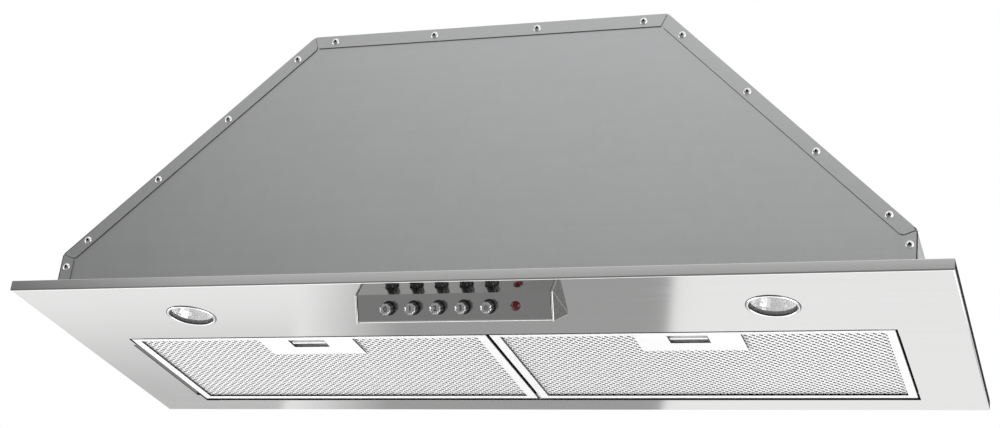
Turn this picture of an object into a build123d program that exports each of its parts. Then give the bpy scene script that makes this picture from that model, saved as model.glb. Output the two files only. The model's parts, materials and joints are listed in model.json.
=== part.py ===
"""Built-in range hood: folded steel casing, blower, push-button control, lamps and hinged grease filters.

Millimetres, +X right, +Y to the back, +Z up. The origin is the middle of the cabinet seat, the plane
of the bottom plate's upturned rim.
"""

import os
from math import asin, atan2, cos, degrees, hypot, sin

from build123d import *

os.makedirs("parts", exist_ok=True)

# Clearances
running_gap = 0.3
pin_gap = 0.1
screw_gap = 0.05

# Bottom plate
plate_w = 750.0
plate_d = 285.0
plate_t = 1.0
rim_h = 9.0
rim_return = 6.0
plate_bottom = -rim_h
plate_top = plate_bottom + plate_t
plate_front = -plate_d / 2

# Casing
casing_t = 0.8
casing_side_margin = 28.0
casing_setback = 21.0
casing_top_w = 302.0
casing_bend_z = 32.0
casing_top_z = 225.0
flange_w = 11.0
flange_notch = 1.2
foot_w = 12.0
foot_corner = 24.0
casing_base_w = plate_w - 2 * casing_side_margin
casing_d = plate_d - 2 * casing_setback
casing_front = -casing_d / 2
panel_front = casing_front + casing_t
front_inner = panel_front + casing_t
rear_inner = -front_inner
ceiling_z = casing_top_z - casing_t
slope_angle = atan2(casing_top_z - casing_bend_z, (casing_base_w - casing_top_w) / 2)

# Rivets
rivet_shank_r = 1.6
rivet_head_r = 3.2
rivet_head_h = 1.3
rivet_dome = 0.8
rivet_core_r = 0.9
rivet_core_depth = 0.9
rivet_tail_r = 2.3
rivet_tail_h = 2.4
rivet_drop = 9.0
rivet_slope_margin = 21.0
rivet_slope_count = 4
rivet_top_margin = 17.0
rivet_top_count = 4

# Wall screws that hang the hood in its cabinet
wall_hole_r = 2.6
wall_hole_pitch = 160.0
wall_hole_z = 12.0

# Filter opening and filters
opening_side_margin = 24.0
opening_back_margin = 25.0
opening_d = 153.0
opening_flange_h = 10.0
opening_relief = 4.0
filter_middle_gap = 2.5
filter_side_gap = 1.5
filter_front_gap = 1.5
filter_rear_gap = 4.5
filter_t = 9.0
frame_t = 1.0
frame_inner_border = 8.25
frame_outer_border = 7.25
frame_front_border = 4.5
frame_rear_border = 6.5
mesh_t = 0.8
mesh_columns = 22
mesh_rows = 13
mesh_strand = 4.0
pad_t = 2.0
pad_overlap = 1.5
hinge_pin_r = 2.0
hinge_pin_inset = 4.0
hinge_pin_grip = 4.0
hanger_t = 1.5
hanger_reach = 14.0
hanger_foot_w = 20.0
opening_w = casing_base_w - 2 * opening_side_margin
opening_back = plate_d / 2 - opening_back_margin
opening_front = opening_back - opening_d
filter_in = filter_middle_gap / 2
filter_out = opening_w / 2 - filter_side_gap
filter_front = opening_front + filter_front_gap
filter_back = opening_back - filter_rear_gap
filter_top = plate_bottom + filter_t
filter_middle = (filter_in + filter_out) / 2
window_in = filter_in + frame_inner_border
window_out = filter_out - frame_outer_border
window_front = filter_front + frame_front_border
window_back = filter_back - frame_rear_border
hinge_y = filter_back - hinge_pin_inset
hinge_z = plate_bottom + filter_t / 2

# Filter latch
latch_w = 85.0
latch_d = 33.0
slot_w = 32.0
slot_d = 15.0
slot_edge = 2.0
cup_w = 48.0
cup_d = 27.5
cup_wall = 1.0
cup_lid_gap = 0.5
slider_d = 18.0
slider_t = 1.5
slider_lift = 4.0
slider_setback = 1.0
grip_w = 30.0
grip_t = 3.0
grip_recess = 0.6
tongue_w = 20.0
tongue_slot_gap = 0.5
latch_floor = plate_bottom + frame_t
slider_z = plate_bottom + slider_lift
slot_front = window_front + slot_edge
slot_middle = slot_front + slot_d / 2

# Control box
control_w = 160.0
control_setback = 23.0
control_face_depth = 11.0
control_face_drop = 19.3
control_d = 44.0
control_t = 0.8
button_count = 5
button_pitch = 20.4
button_first_x = -52.1
button_rise = 0.6
button_r = 4.7
button_flute_count = 8
button_flute_r = 1.1
button_flute_depth = 0.5
button_h = 5.3
button_travel = 3.0
button_chamfer = 0.3
plunger_r = 2.0
plunger_depth = 16.0
bush_wall = 0.9
bush_rim = 0.7
bush_h = 2.2
indicator_x = 50.3
indicator_r = 3.75
indicator_barrel_r = 3.0
indicator_barrel_depth = 12.0
indicator_rim_h = 0.8
indicator_dome_h = 1.4
indicator_taper = 35.0
switch_gap = 1.2
switch_h = 13.0
switch_depth = 22.0
switch_end = 9.0
switch_floor = 1.6
cutout_edge = 4.5
cutout_d = 29.0
cutout_side = 10.0
control_front = plate_front + control_setback
bush_bore_r = button_r + running_gap
switch_front = -control_t - switch_gap
button_back = button_travel + bush_rim / 2
button_xs = [button_first_x + i * button_pitch for i in range(button_count)]
button_names = ["off_button", "speed_1_button", "speed_2_button", "speed_3_button", "light_button"]

# Lamps
lamp_x = 239.0
lamp_setback = 58.5
bezel_r = 20.2
bezel_step_r = 19.6
bezel_step_h = 0.6
bezel_h = 0.9
bezel_tube_r = 19.2
bezel_tube_t = 0.7
bezel_tube_h = 7.0
bezel_lip = 0.5
bezel_lip_t = 1.5
lamp_glass_t = 1.2
lamp_glass_gap = 0.3
reflector_t = 0.9
reflector_h = 20.0
reflector_bow = 2.5
reflector_neck_r = 5.6
reflector_neck_h = 4.0
capsule_r = 3.0
capsule_h = 12.0
capsule_round = 2.7
lamp_pin_r = 0.5
lamp_pin_h = 6.0
lamp_pin_pitch = 4.0
holder_r = 9.0
holder_h = 12.0
lamp_y = plate_front + lamp_setback
plate_lamp_hole_r = bezel_tube_r + screw_gap

# Blower
scroll_w = 150.0
scroll_front_gap = 8.0
scroll_neck = 108.0
scroll_r1 = 80.0
scroll_r2 = 88.0
scroll_r3 = 96.0
scroll_hem = 3.0
scroll_flange_w = 16.0
scroll_flange_margin = 7.0
inlet_r = 58.0
impeller_r = 70.0
impeller_eye_r = 57.5
impeller_w = 124.0
impeller_ring_t = 1.5
impeller_hub_t = 3.0
impeller_hub_r = 66.0
boss_r = 9.0
boss_l = 20.0
blade_count = 32
blade_t = 0.8
blade_lean = 25.0
motor_r = 40.0
motor_l = 72.0
motor_cap_l = 6.0
motor_cap_r = 34.0
motor_inner_end = 12.0
shaft_r = 4.0
shaft_grip = 55.0
bracket_t = 1.5
bracket_ring = 7.0
bracket_arm_w = 14.0
bracket_reach = 66.0
motor_bush_r = 6.0
motor_bush_h = 3.0
motor_bush_neck_r = 3.0
bracket_arm_count = 3
blower_y = front_inner + scroll_front_gap + casing_t + scroll_r1
blower_z = ceiling_z - scroll_neck
scroll_side_x = scroll_w / 2
scroll_back = blower_y + scroll_r2 - scroll_r1 + scroll_r3

# Outlet collar and damper
collar_r = 74.0
collar_t = 1.0
collar_h = 30.0
collar_base_margin = 40.0
collar_base_t = 0.8
collar_base_corner = 8.0
damper_ledge = 6.0
damper_gap = 1.5
damper_t = 1.0
damper_pin_r = 1.5
damper_knuckle_r = 2.7
damper_knuckle_l = 16.0
damper_knuckle_x = 50.0
damper_knuckle_inner_x = 18.0
top_screw_r = 2.0
top_screw_head_r = 3.6
top_screw_head_h = 2.4
top_screw_round = 1.2
top_screw_l = 8.0
top_screw_pitch = 90.0
collar_y = (blower_y + scroll_back) / 2
collar_inner_r = collar_r - collar_t
damper_r = collar_inner_r - damper_gap
damper_z = casing_top_z + running_gap
damper_axis_z = damper_z + damper_knuckle_r
top_screw_x = scroll_side_x + casing_t + scroll_flange_w / 2
collar_base_d = top_screw_pitch + 2 * collar_base_margin
scroll_flange_d = top_screw_pitch + 2 * scroll_flange_margin

# Electrics on the inside of the rear panel
junction_x = 190.0
junction_z = 62.0
junction_w = 90.0
junction_h = 60.0
junction_d = 42.0
junction_t = 1.2
junction_corner = 2.4
terminal_x = -18.0
terminal_w = 46.0
terminal_h = 20.0
terminal_d = 16.0
terminal_way_count = 4
terminal_screw_r = 2.2
terminal_screw_depth = 8.0
gland_x = 25.0
gland_thread_r = 8.0
gland_flange_r = 13.0
gland_flange_h = 6.0
gland_dome_r = 10.0
gland_dome_h = 12.0
gland_dome_round = 3.3
gland_bore_r = 4.5
gland_nut_h = 5.0
transformer_x = -190.0
transformer_z = 50.0
transformer_w = 84.0
transformer_h = 44.0
transformer_d = 36.0
transformer_ear = 10.0
transformer_ear_h = 22.0
transformer_ear_t = 3.0
capacitor_x = -130.0
capacitor_z = 120.0
capacitor_r = 17.0
capacitor_l = 60.0
capacitor_round = 2.0
clip_w = 14.0
clip_t = 1.0
clip_ear = 9.0


def casing_corners(inset):
    """Corners of the casing's front outline, drawn in by inset, from the left foot round to the right."""
    wall = casing_base_w / 2 - inset
    bend = casing_bend_z - inset * cos(slope_angle) / (1 + sin(slope_angle))
    shoulder = casing_top_w / 2 - inset * sin(slope_angle) / (1 + cos(slope_angle))
    top = casing_top_z - inset
    left = [(-wall, plate_top), (-wall, bend), (-shoulder, top)]
    right = [(-x, z) for x, z in reversed(left)]
    return left + right


def rivet_points():
    """Rivet centres along the middle of the folded edge, as (x, z)."""
    _, bend, shoulder, _, _, _ = casing_corners(flange_w / 2)
    run = (shoulder[0] - bend[0], shoulder[1] - bend[1])
    length = hypot(*run)
    step = (length - 2 * rivet_slope_margin) / (rivet_slope_count - 1)
    shares = [(rivet_slope_margin + i * step) / length for i in range(rivet_slope_count)]
    left = [(bend[0], bend[1] - rivet_drop)] + [(bend[0] + s * run[0], bend[1] + s * run[1]) for s in shares]
    first = shoulder[0] + rivet_top_margin
    top = [(first - 2 * first * i / (rivet_top_count - 1), shoulder[1]) for i in range(rivet_top_count)]
    return left + top + [(-x, z) for x, z in left]


def upright(y):
    """A plane that faces the front at y; an extrusion by a negative amount goes to the back."""
    return Plane.XZ.offset(-y)


def turned(x, y, z=0.0):
    """A plane through a vertical axis at x, y, with its own x as the radius and its own y as the height."""
    return Plane(origin=(x, y, z), x_dir=(1, 0, 0), z_dir=(0, -1, 0))


def rivet_holes(y):
    """Cut the rivet holes through an upright casing sheet whose front is at y."""
    with Locations(*[Location((x, y + casing_t / 2, z), (90, 0, 0)) for x, z in rivet_points()]):
        Cylinder(rivet_shank_r + screw_gap, casing_t, mode=Mode.SUBTRACT)


# The control box's face at the buttons: own y runs up the face, own z points out of it towards the cook
button_share = 0.5 - button_rise / hypot(control_face_depth, control_face_drop)
control_face = Plane(
    origin=(0, control_front + control_face_depth * button_share, plate_bottom - control_face_drop * button_share),
    x_dir=(1, 0, 0),
    z_dir=(0, -control_face_drop, -control_face_depth),
)

# Bottom plate: pressed tray with an upturned rim and a folded filter opening
with BuildPart() as bottom_plate:
    with BuildSketch(Plane.XY.offset(plate_bottom)):
        Rectangle(plate_w, plate_d)
    extrude(amount=rim_h)
    with BuildSketch(Plane.XY.offset(plate_top)):
        Rectangle(plate_w - 2 * plate_t, plate_d - 2 * plate_t)
    extrude(amount=rim_h - 2 * plate_t, mode=Mode.SUBTRACT)
    with BuildSketch(Plane.XY.offset(-plate_t)):
        Rectangle(plate_w - 2 * rim_return, plate_d - 2 * rim_return)
    extrude(amount=plate_t, mode=Mode.SUBTRACT)
    with BuildSketch(Plane.XY.offset(plate_top)):
        with Locations((0, (opening_front + opening_back) / 2)):
            Rectangle(opening_w + 2 * plate_t, opening_d + 2 * plate_t)
    extrude(amount=opening_flange_h - plate_t)
    with BuildSketch(Plane.XY.offset(plate_bottom)):
        with Locations((0, (opening_front + opening_back) / 2)):
            Rectangle(opening_w, opening_d)
    extrude(amount=opening_flange_h, mode=Mode.SUBTRACT)
    with BuildSketch(Plane.XY.offset(plate_top)):
        with Locations((0, (opening_front + opening_back) / 2)):
            with GridLocations(opening_w, opening_d, 2, 2):
                Rectangle(2 * opening_relief, 2 * opening_relief)
    extrude(amount=opening_flange_h - plate_t, mode=Mode.SUBTRACT)
    with BuildSketch(Plane.XY.offset(plate_bottom)):
        with Locations((-lamp_x, lamp_y), (lamp_x, lamp_y)):
            Circle(plate_lamp_hole_r)
        with Locations((0, control_front + cutout_edge + cutout_d / 2)):
            Rectangle(control_w - 2 * cutout_side, cutout_d)
    extrude(amount=plate_t, mode=Mode.SUBTRACT)
    with BuildSketch(Plane.YZ):
        with Locations((hinge_y, hinge_z)):
            Circle(hinge_pin_r + pin_gap)
    extrude(amount=opening_w / 2 + plate_t, both=True, mode=Mode.SUBTRACT)
    with BuildSketch(upright(opening_front)):
        with Locations((-filter_middle, slider_z + slider_t / 2), (filter_middle, slider_z + slider_t / 2)):
            Rectangle(tongue_w + 2 * tongue_slot_gap, slider_t + 2 * tongue_slot_gap)
    extrude(amount=plate_t, mode=Mode.SUBTRACT)
bottom_plate.part.label = "bottom_plate"
export_step(bottom_plate.part, "parts/bottom_plate.step")

# Wrap panel: one strip folded over the sides and top, its edges folded over the front and rear panels
with BuildPart() as wrap_panel:
    with BuildSketch(upright(casing_front)):
        Polygon(*casing_corners(0), align=None)
        Polygon(*casing_corners(casing_t), align=None, mode=Mode.SUBTRACT)
    extrude(amount=-casing_d)
    for sheet_front in (casing_front, -casing_front - casing_t):
        with BuildSketch(upright(sheet_front)):
            Polygon(*casing_corners(casing_t / 2), align=None)
            Polygon(*casing_corners(flange_w), align=None, mode=Mode.SUBTRACT)
            outer = casing_corners(casing_t)[1:5]
            inner = casing_corners(flange_w)[1:5]
            for near, far in zip(outer, inner):
                middle = ((near[0] + far[0]) / 2, (near[1] + far[1]) / 2)
                angle = degrees(atan2(near[1] - far[1], near[0] - far[0]))
                length = hypot(near[0] - far[0], near[1] - far[1])
                with Locations(Location((*middle, 0), (0, 0, angle))):
                    SlotOverall(length + flange_notch, flange_notch, mode=Mode.SUBTRACT)
        extrude(amount=-casing_t)
    with BuildSketch(Plane.XY.offset(plate_top)):
        with GridLocations(casing_base_w - casing_t - foot_w, 0, 2, 1):
            Rectangle(foot_w + casing_t, casing_d - 2 * foot_corner)
    extrude(amount=casing_t)
    with BuildSketch(Plane.XY.offset(ceiling_z)):
        with Locations((0, collar_y)):
            Circle(collar_inner_r - damper_ledge)
            with GridLocations(2 * top_screw_x, top_screw_pitch, 2, 2):
                Circle(top_screw_r + screw_gap)
    extrude(amount=casing_t, mode=Mode.SUBTRACT)
    with BuildSketch(Plane.YZ):
        with Locations((-wall_hole_pitch / 2, wall_hole_z), (wall_hole_pitch / 2, wall_hole_z)):
            Circle(wall_hole_r)
    extrude(amount=casing_base_w / 2, both=True, mode=Mode.SUBTRACT)
    for sheet_front in (casing_front, -casing_front - casing_t):
        rivet_holes(sheet_front)
wrap_panel.part.label = "wrap_panel"
export_step(wrap_panel.part, "parts/wrap_panel.step")

# Front panel, with a foot folded in along the plate and a notch that clears the switch block
with BuildPart() as front_panel:
    with BuildSketch(upright(panel_front)):
        Polygon(*casing_corners(casing_t), align=None)
    extrude(amount=-casing_t)
    with BuildSketch(Plane.XY.offset(plate_top)):
        with Locations((0, front_inner + foot_w / 2)):
            Rectangle(casing_base_w - 2 * foot_corner, foot_w)
        with Locations((0, control_front + cutout_edge + cutout_d / 2)):
            Rectangle(control_w - 2 * cutout_side, cutout_d, mode=Mode.SUBTRACT)
    extrude(amount=casing_t)
    rivet_holes(panel_front)
front_panel.part.label = "front_panel"
export_step(front_panel.part, "parts/front_panel.step")

# Rear panel, with the hole that the cable gland sits in
with BuildPart() as rear_panel:
    with BuildSketch(upright(rear_inner)):
        Polygon(*casing_corners(casing_t), align=None)
    extrude(amount=-casing_t)
    with BuildSketch(Plane.XY.offset(plate_top)):
        with Locations((0, rear_inner - foot_w / 2)):
            Rectangle(casing_base_w - 2 * foot_corner, foot_w)
        with Locations((0, (opening_front + opening_back) / 2)):
            Rectangle(opening_w + 2 * plate_t, opening_d + 2 * plate_t, mode=Mode.SUBTRACT)
    extrude(amount=casing_t)
    rivet_holes(rear_inner)
    with BuildSketch(upright(rear_inner)):
        with Locations((junction_x + gland_x, junction_z)):
            Circle(gland_thread_r + screw_gap)
    extrude(amount=-casing_t, mode=Mode.SUBTRACT)
rear_panel.part.label = "rear_panel"
export_step(rear_panel.part, "parts/rear_panel.step")

# One blind rivet, standing on z = 0 with its head up and its hollow core open at the top
grip = 2 * casing_t
with BuildPart() as rivet:
    with BuildSketch(Plane.XZ):
        with BuildLine():
            Polyline(
                (rivet_core_r, rivet_head_h),
                (rivet_core_r, rivet_head_h - rivet_core_depth),
                (0, rivet_head_h - rivet_core_depth),
                (0, -grip - rivet_tail_h),
                (rivet_tail_r, -grip - rivet_tail_h),
                (rivet_tail_r, -grip),
                (rivet_shank_r, -grip),
                (rivet_shank_r, 0),
                (rivet_head_r, 0),
            )
            dome_mid = ((rivet_core_r + rivet_head_r) / 2, rivet_head_h * rivet_dome)
            ThreePointArc((rivet_head_r, 0), dome_mid, (rivet_core_r, rivet_head_h))
        make_face()
    revolve(axis=Axis.Z)

with BuildPart() as front_rivets:
    with Locations(*[Location((x, casing_front, z), (90, 0, 0)) for x, z in rivet_points()]):
        add(rivet.part)
front_rivets.part.label = "front_rivets"
export_step(front_rivets.part, "parts/front_rivets.step")

with BuildPart() as rear_rivets:
    with Locations(*[Location((x, -casing_front, z), (-90, 0, 0)) for x, z in rivet_points()]):
        add(rivet.part)
rear_rivets.part.label = "rear_rivets"
export_step(rear_rivets.part, "parts/rear_rivets.step")

# Control box: folded prism under the plate, open at the top
with BuildPart() as control_box:
    with BuildSketch(Plane.YZ):
        Polygon(
            (control_front, plate_bottom),
            (control_front + control_face_depth, plate_bottom - control_face_drop),
            (control_front + control_d, plate_bottom),
            align=None,
        )
    extrude(amount=control_w / 2, both=True)
    offset(amount=-control_t, openings=control_box.faces().sort_by(Axis.Z)[-1], kind=Kind.INTERSECTION)
    with BuildSketch(control_face):
        with Locations(*[(x, 0) for x in button_xs]):
            Circle(bush_bore_r + bush_wall)
        with Locations((indicator_x, 0)):
            Circle(indicator_barrel_r)
    extrude(amount=-2 * control_t, mode=Mode.SUBTRACT)
control_box.part.label = "control_box"
export_step(control_box.part, "parts/control_box.step")

# Bushes that guide the caps, with a rim on the face
with BuildPart() as button_bushes:
    with BuildSketch(control_face.offset(switch_front)):
        with Locations(*[(x, 0) for x in button_xs]):
            Circle(bush_bore_r + bush_wall)
    extrude(amount=-switch_front)
    with BuildSketch(control_face):
        with Locations(*[(x, 0) for x in button_xs]):
            Circle(bush_bore_r + bush_wall + bush_rim)
    extrude(amount=bush_h)
    with BuildSketch(control_face.offset(switch_front)):
        with Locations(*[(x, 0) for x in button_xs]):
            Circle(bush_bore_r)
    extrude(amount=bush_h - switch_front, mode=Mode.SUBTRACT)
button_bushes.part.label = "button_bushes"
export_step(button_bushes.part, "parts/button_bushes.step")

# Five push buttons: a fluted cap on a plunger that slides in the switch block
for button_name, button_x in zip(button_names, button_xs):
    with BuildPart() as button:
        with BuildSketch(control_face.offset(button_back)):
            with Locations((button_x, 0)):
                Circle(button_r)
                with PolarLocations(button_r + button_flute_r - button_flute_depth, button_flute_count):
                    Circle(button_flute_r, mode=Mode.SUBTRACT)
        extrude(amount=button_h)
        front_face = button.faces().filter_by(lambda f: f.normal_at().dot(control_face.z_dir) > 0.99)
        chamfer(front_face.edges(), button_chamfer)
        with BuildSketch(control_face.offset(button_back)):
            with Locations((button_x, 0)):
                Circle(plunger_r)
        extrude(amount=-button_back - plunger_depth)
    button.part.label = button_name
    export_step(button.part, f"parts/{button_name}.step")

# Red indicator lens with the barrel that clips into the face
with BuildPart() as indicator_lens:
    with BuildSketch(control_face):
        with Locations((indicator_x, 0)):
            Circle(indicator_r)
    extrude(amount=indicator_rim_h)
    with BuildSketch(control_face.offset(indicator_rim_h)):
        with Locations((indicator_x, 0)):
            Circle(indicator_r)
    extrude(amount=indicator_dome_h, taper=indicator_taper)
    with BuildSketch(control_face):
        with Locations((indicator_x, 0)):
            Circle(indicator_barrel_r)
    extrude(amount=-indicator_barrel_depth)
indicator_lens.part.label = "indicator_lens"
export_step(indicator_lens.part, "parts/indicator_lens.step")

# Switch block behind the face, with a blind bore for each plunger
with BuildPart() as switch_block:
    with BuildSketch(control_face.offset(switch_front)):
        with Locations(((button_xs[0] + button_xs[-1]) / 2, 0)):
            Rectangle(button_xs[-1] - button_xs[0] + 2 * switch_end, switch_h)
    extrude(amount=-switch_depth)
    with BuildSketch(control_face.offset(switch_front)):
        with Locations(*[(x, 0) for x in button_xs]):
            Circle(plunger_r + running_gap)
    extrude(amount=-switch_depth + switch_floor, mode=Mode.SUBTRACT)
switch_block.part.label = "switch_block"
export_step(switch_block.part, "parts/switch_block.step")

# Lamps: bezel, glass, reflector, capsule bulb and holder on each side
glass_seat = bezel_lip_t - bezel_h
glass_top = glass_seat + lamp_glass_t
bezel_bore_r = bezel_tube_r - bezel_tube_t
glass_r = bezel_bore_r - lamp_glass_gap
neck_bore_r = reflector_neck_r - reflector_t
neck_z = glass_top + reflector_h
neck_top = neck_z + reflector_neck_h
for side_name, side in (("left", -1), ("right", 1)):
    lamp_plane = turned(side * lamp_x, lamp_y, plate_bottom)
    lamp_axis = Axis((side * lamp_x, lamp_y, 0), (0, 0, 1))

    with BuildPart() as lamp_bezel:
        with BuildSketch(lamp_plane):
            Polygon(
                (bezel_bore_r - bezel_lip, -bezel_h),
                (bezel_step_r, -bezel_h),
                (bezel_step_r, -bezel_step_h),
                (bezel_r, -bezel_step_h),
                (bezel_r, 0),
                (bezel_tube_r, 0),
                (bezel_tube_r, bezel_tube_h),
                (bezel_bore_r, bezel_tube_h),
                (bezel_bore_r, glass_seat),
                (bezel_bore_r - bezel_lip, glass_seat),
                align=None,
            )
        revolve(axis=lamp_axis)
    lamp_bezel.part.label = f"{side_name}_lamp_bezel"
    export_step(lamp_bezel.part, f"parts/{side_name}_lamp_bezel.step")

    with BuildPart() as lamp_glass:
        with BuildSketch(Plane.XY.offset(plate_bottom + glass_seat)):
            with Locations((side * lamp_x, lamp_y)):
                Circle(glass_r)
        extrude(amount=lamp_glass_t)
    lamp_glass.part.label = f"{side_name}_lamp_glass"
    export_step(lamp_glass.part, f"parts/{side_name}_lamp_glass.step")

    with BuildPart() as lamp_reflector:
        with BuildSketch(lamp_plane):
            with BuildLine():
                bow = (glass_r + reflector_neck_r) / 2 + reflector_bow
                bow_z = (glass_top + neck_z) / 2
                ThreePointArc((glass_r, glass_top), (bow, bow_z), (reflector_neck_r, neck_z))
                Polyline((reflector_neck_r, neck_z), (reflector_neck_r, neck_top), (neck_bore_r, neck_top))
                Line((neck_bore_r, neck_top), (neck_bore_r, neck_z))
                inner_bow = (bow - reflector_t, bow_z - reflector_t / 2)
                ThreePointArc((neck_bore_r, neck_z), inner_bow, (glass_r - reflector_t, glass_top))
                Line((glass_r - reflector_t, glass_top), (glass_r, glass_top))
            make_face()
        revolve(axis=lamp_axis)
    lamp_reflector.part.label = f"{side_name}_lamp_reflector"
    export_step(lamp_reflector.part, f"parts/{side_name}_lamp_reflector.step")

    with BuildPart() as lamp_bulb:
        with BuildSketch(Plane.XY.offset(plate_bottom + neck_z)):
            with Locations((side * lamp_x, lamp_y)):
                Circle(neck_bore_r)
        extrude(amount=reflector_neck_h)
        with BuildSketch(Plane.XY.offset(plate_bottom + neck_z)):
            with Locations((side * lamp_x, lamp_y)):
                Circle(capsule_r)
        extrude(amount=-capsule_h)
        fillet(lamp_bulb.faces().sort_by(Axis.Z)[0].edges(), capsule_round)
        with BuildSketch(Plane.XY.offset(plate_bottom + neck_top)):
            with Locations((side * lamp_x, lamp_y)):
                with GridLocations(lamp_pin_pitch, 0, 2, 1):
                    Circle(lamp_pin_r)
        extrude(amount=lamp_pin_h)
    lamp_bulb.part.label = f"{side_name}_lamp_bulb"
    export_step(lamp_bulb.part, f"parts/{side_name}_lamp_bulb.step")

    with BuildPart() as lamp_holder:
        with BuildSketch(Plane.XY.offset(plate_bottom + neck_top)):
            with Locations((side * lamp_x, lamp_y)):
                Circle(holder_r)
                with GridLocations(lamp_pin_pitch, 0, 2, 1):
                    Circle(lamp_pin_r + screw_gap, mode=Mode.SUBTRACT)
        extrude(amount=holder_h)
    lamp_holder.part.label = f"{side_name}_lamp_holder"
    export_step(lamp_holder.part, f"parts/{side_name}_lamp_holder.step")


def net_face(x, y):
    """The expanded sheet's face, centred at x, y: staggered rows of diamond holes in one outline."""
    pitch_x = (window_out - window_in) / mesh_columns
    pitch_y = (window_back - window_front) / (mesh_rows + 1)
    open_share = 1 - mesh_strand / pitch_x
    reach_x = open_share * pitch_x / 2
    reach_y = open_share * pitch_y
    holes = []
    for row in range(mesh_rows):
        row_y = y + (row - (mesh_rows - 1) / 2) * pitch_y
        in_row = mesh_columns - row % 2
        for column in range(in_row):
            hole_x = x + (column - (in_row - 1) / 2) * pitch_x
            corners = [(reach_x, 0), (0, reach_y), (-reach_x, 0), (0, -reach_y)]
            diamond = [(hole_x + dx, row_y + dy, latch_floor) for dx, dy in corners]
            holes.append(Wire.make_polygon(diamond, close=True))
    half_x = (window_out - window_in) / 2 + pad_overlap
    half_y = (window_back - window_front) / 2 + pad_overlap
    edge = [(-half_x, -half_y), (half_x, -half_y), (half_x, half_y), (-half_x, half_y)]
    outline = Wire.make_polygon([(x + dx, y + dy, latch_floor) for dx, dy in edge], close=True)
    return Face(outline, holes)


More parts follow.
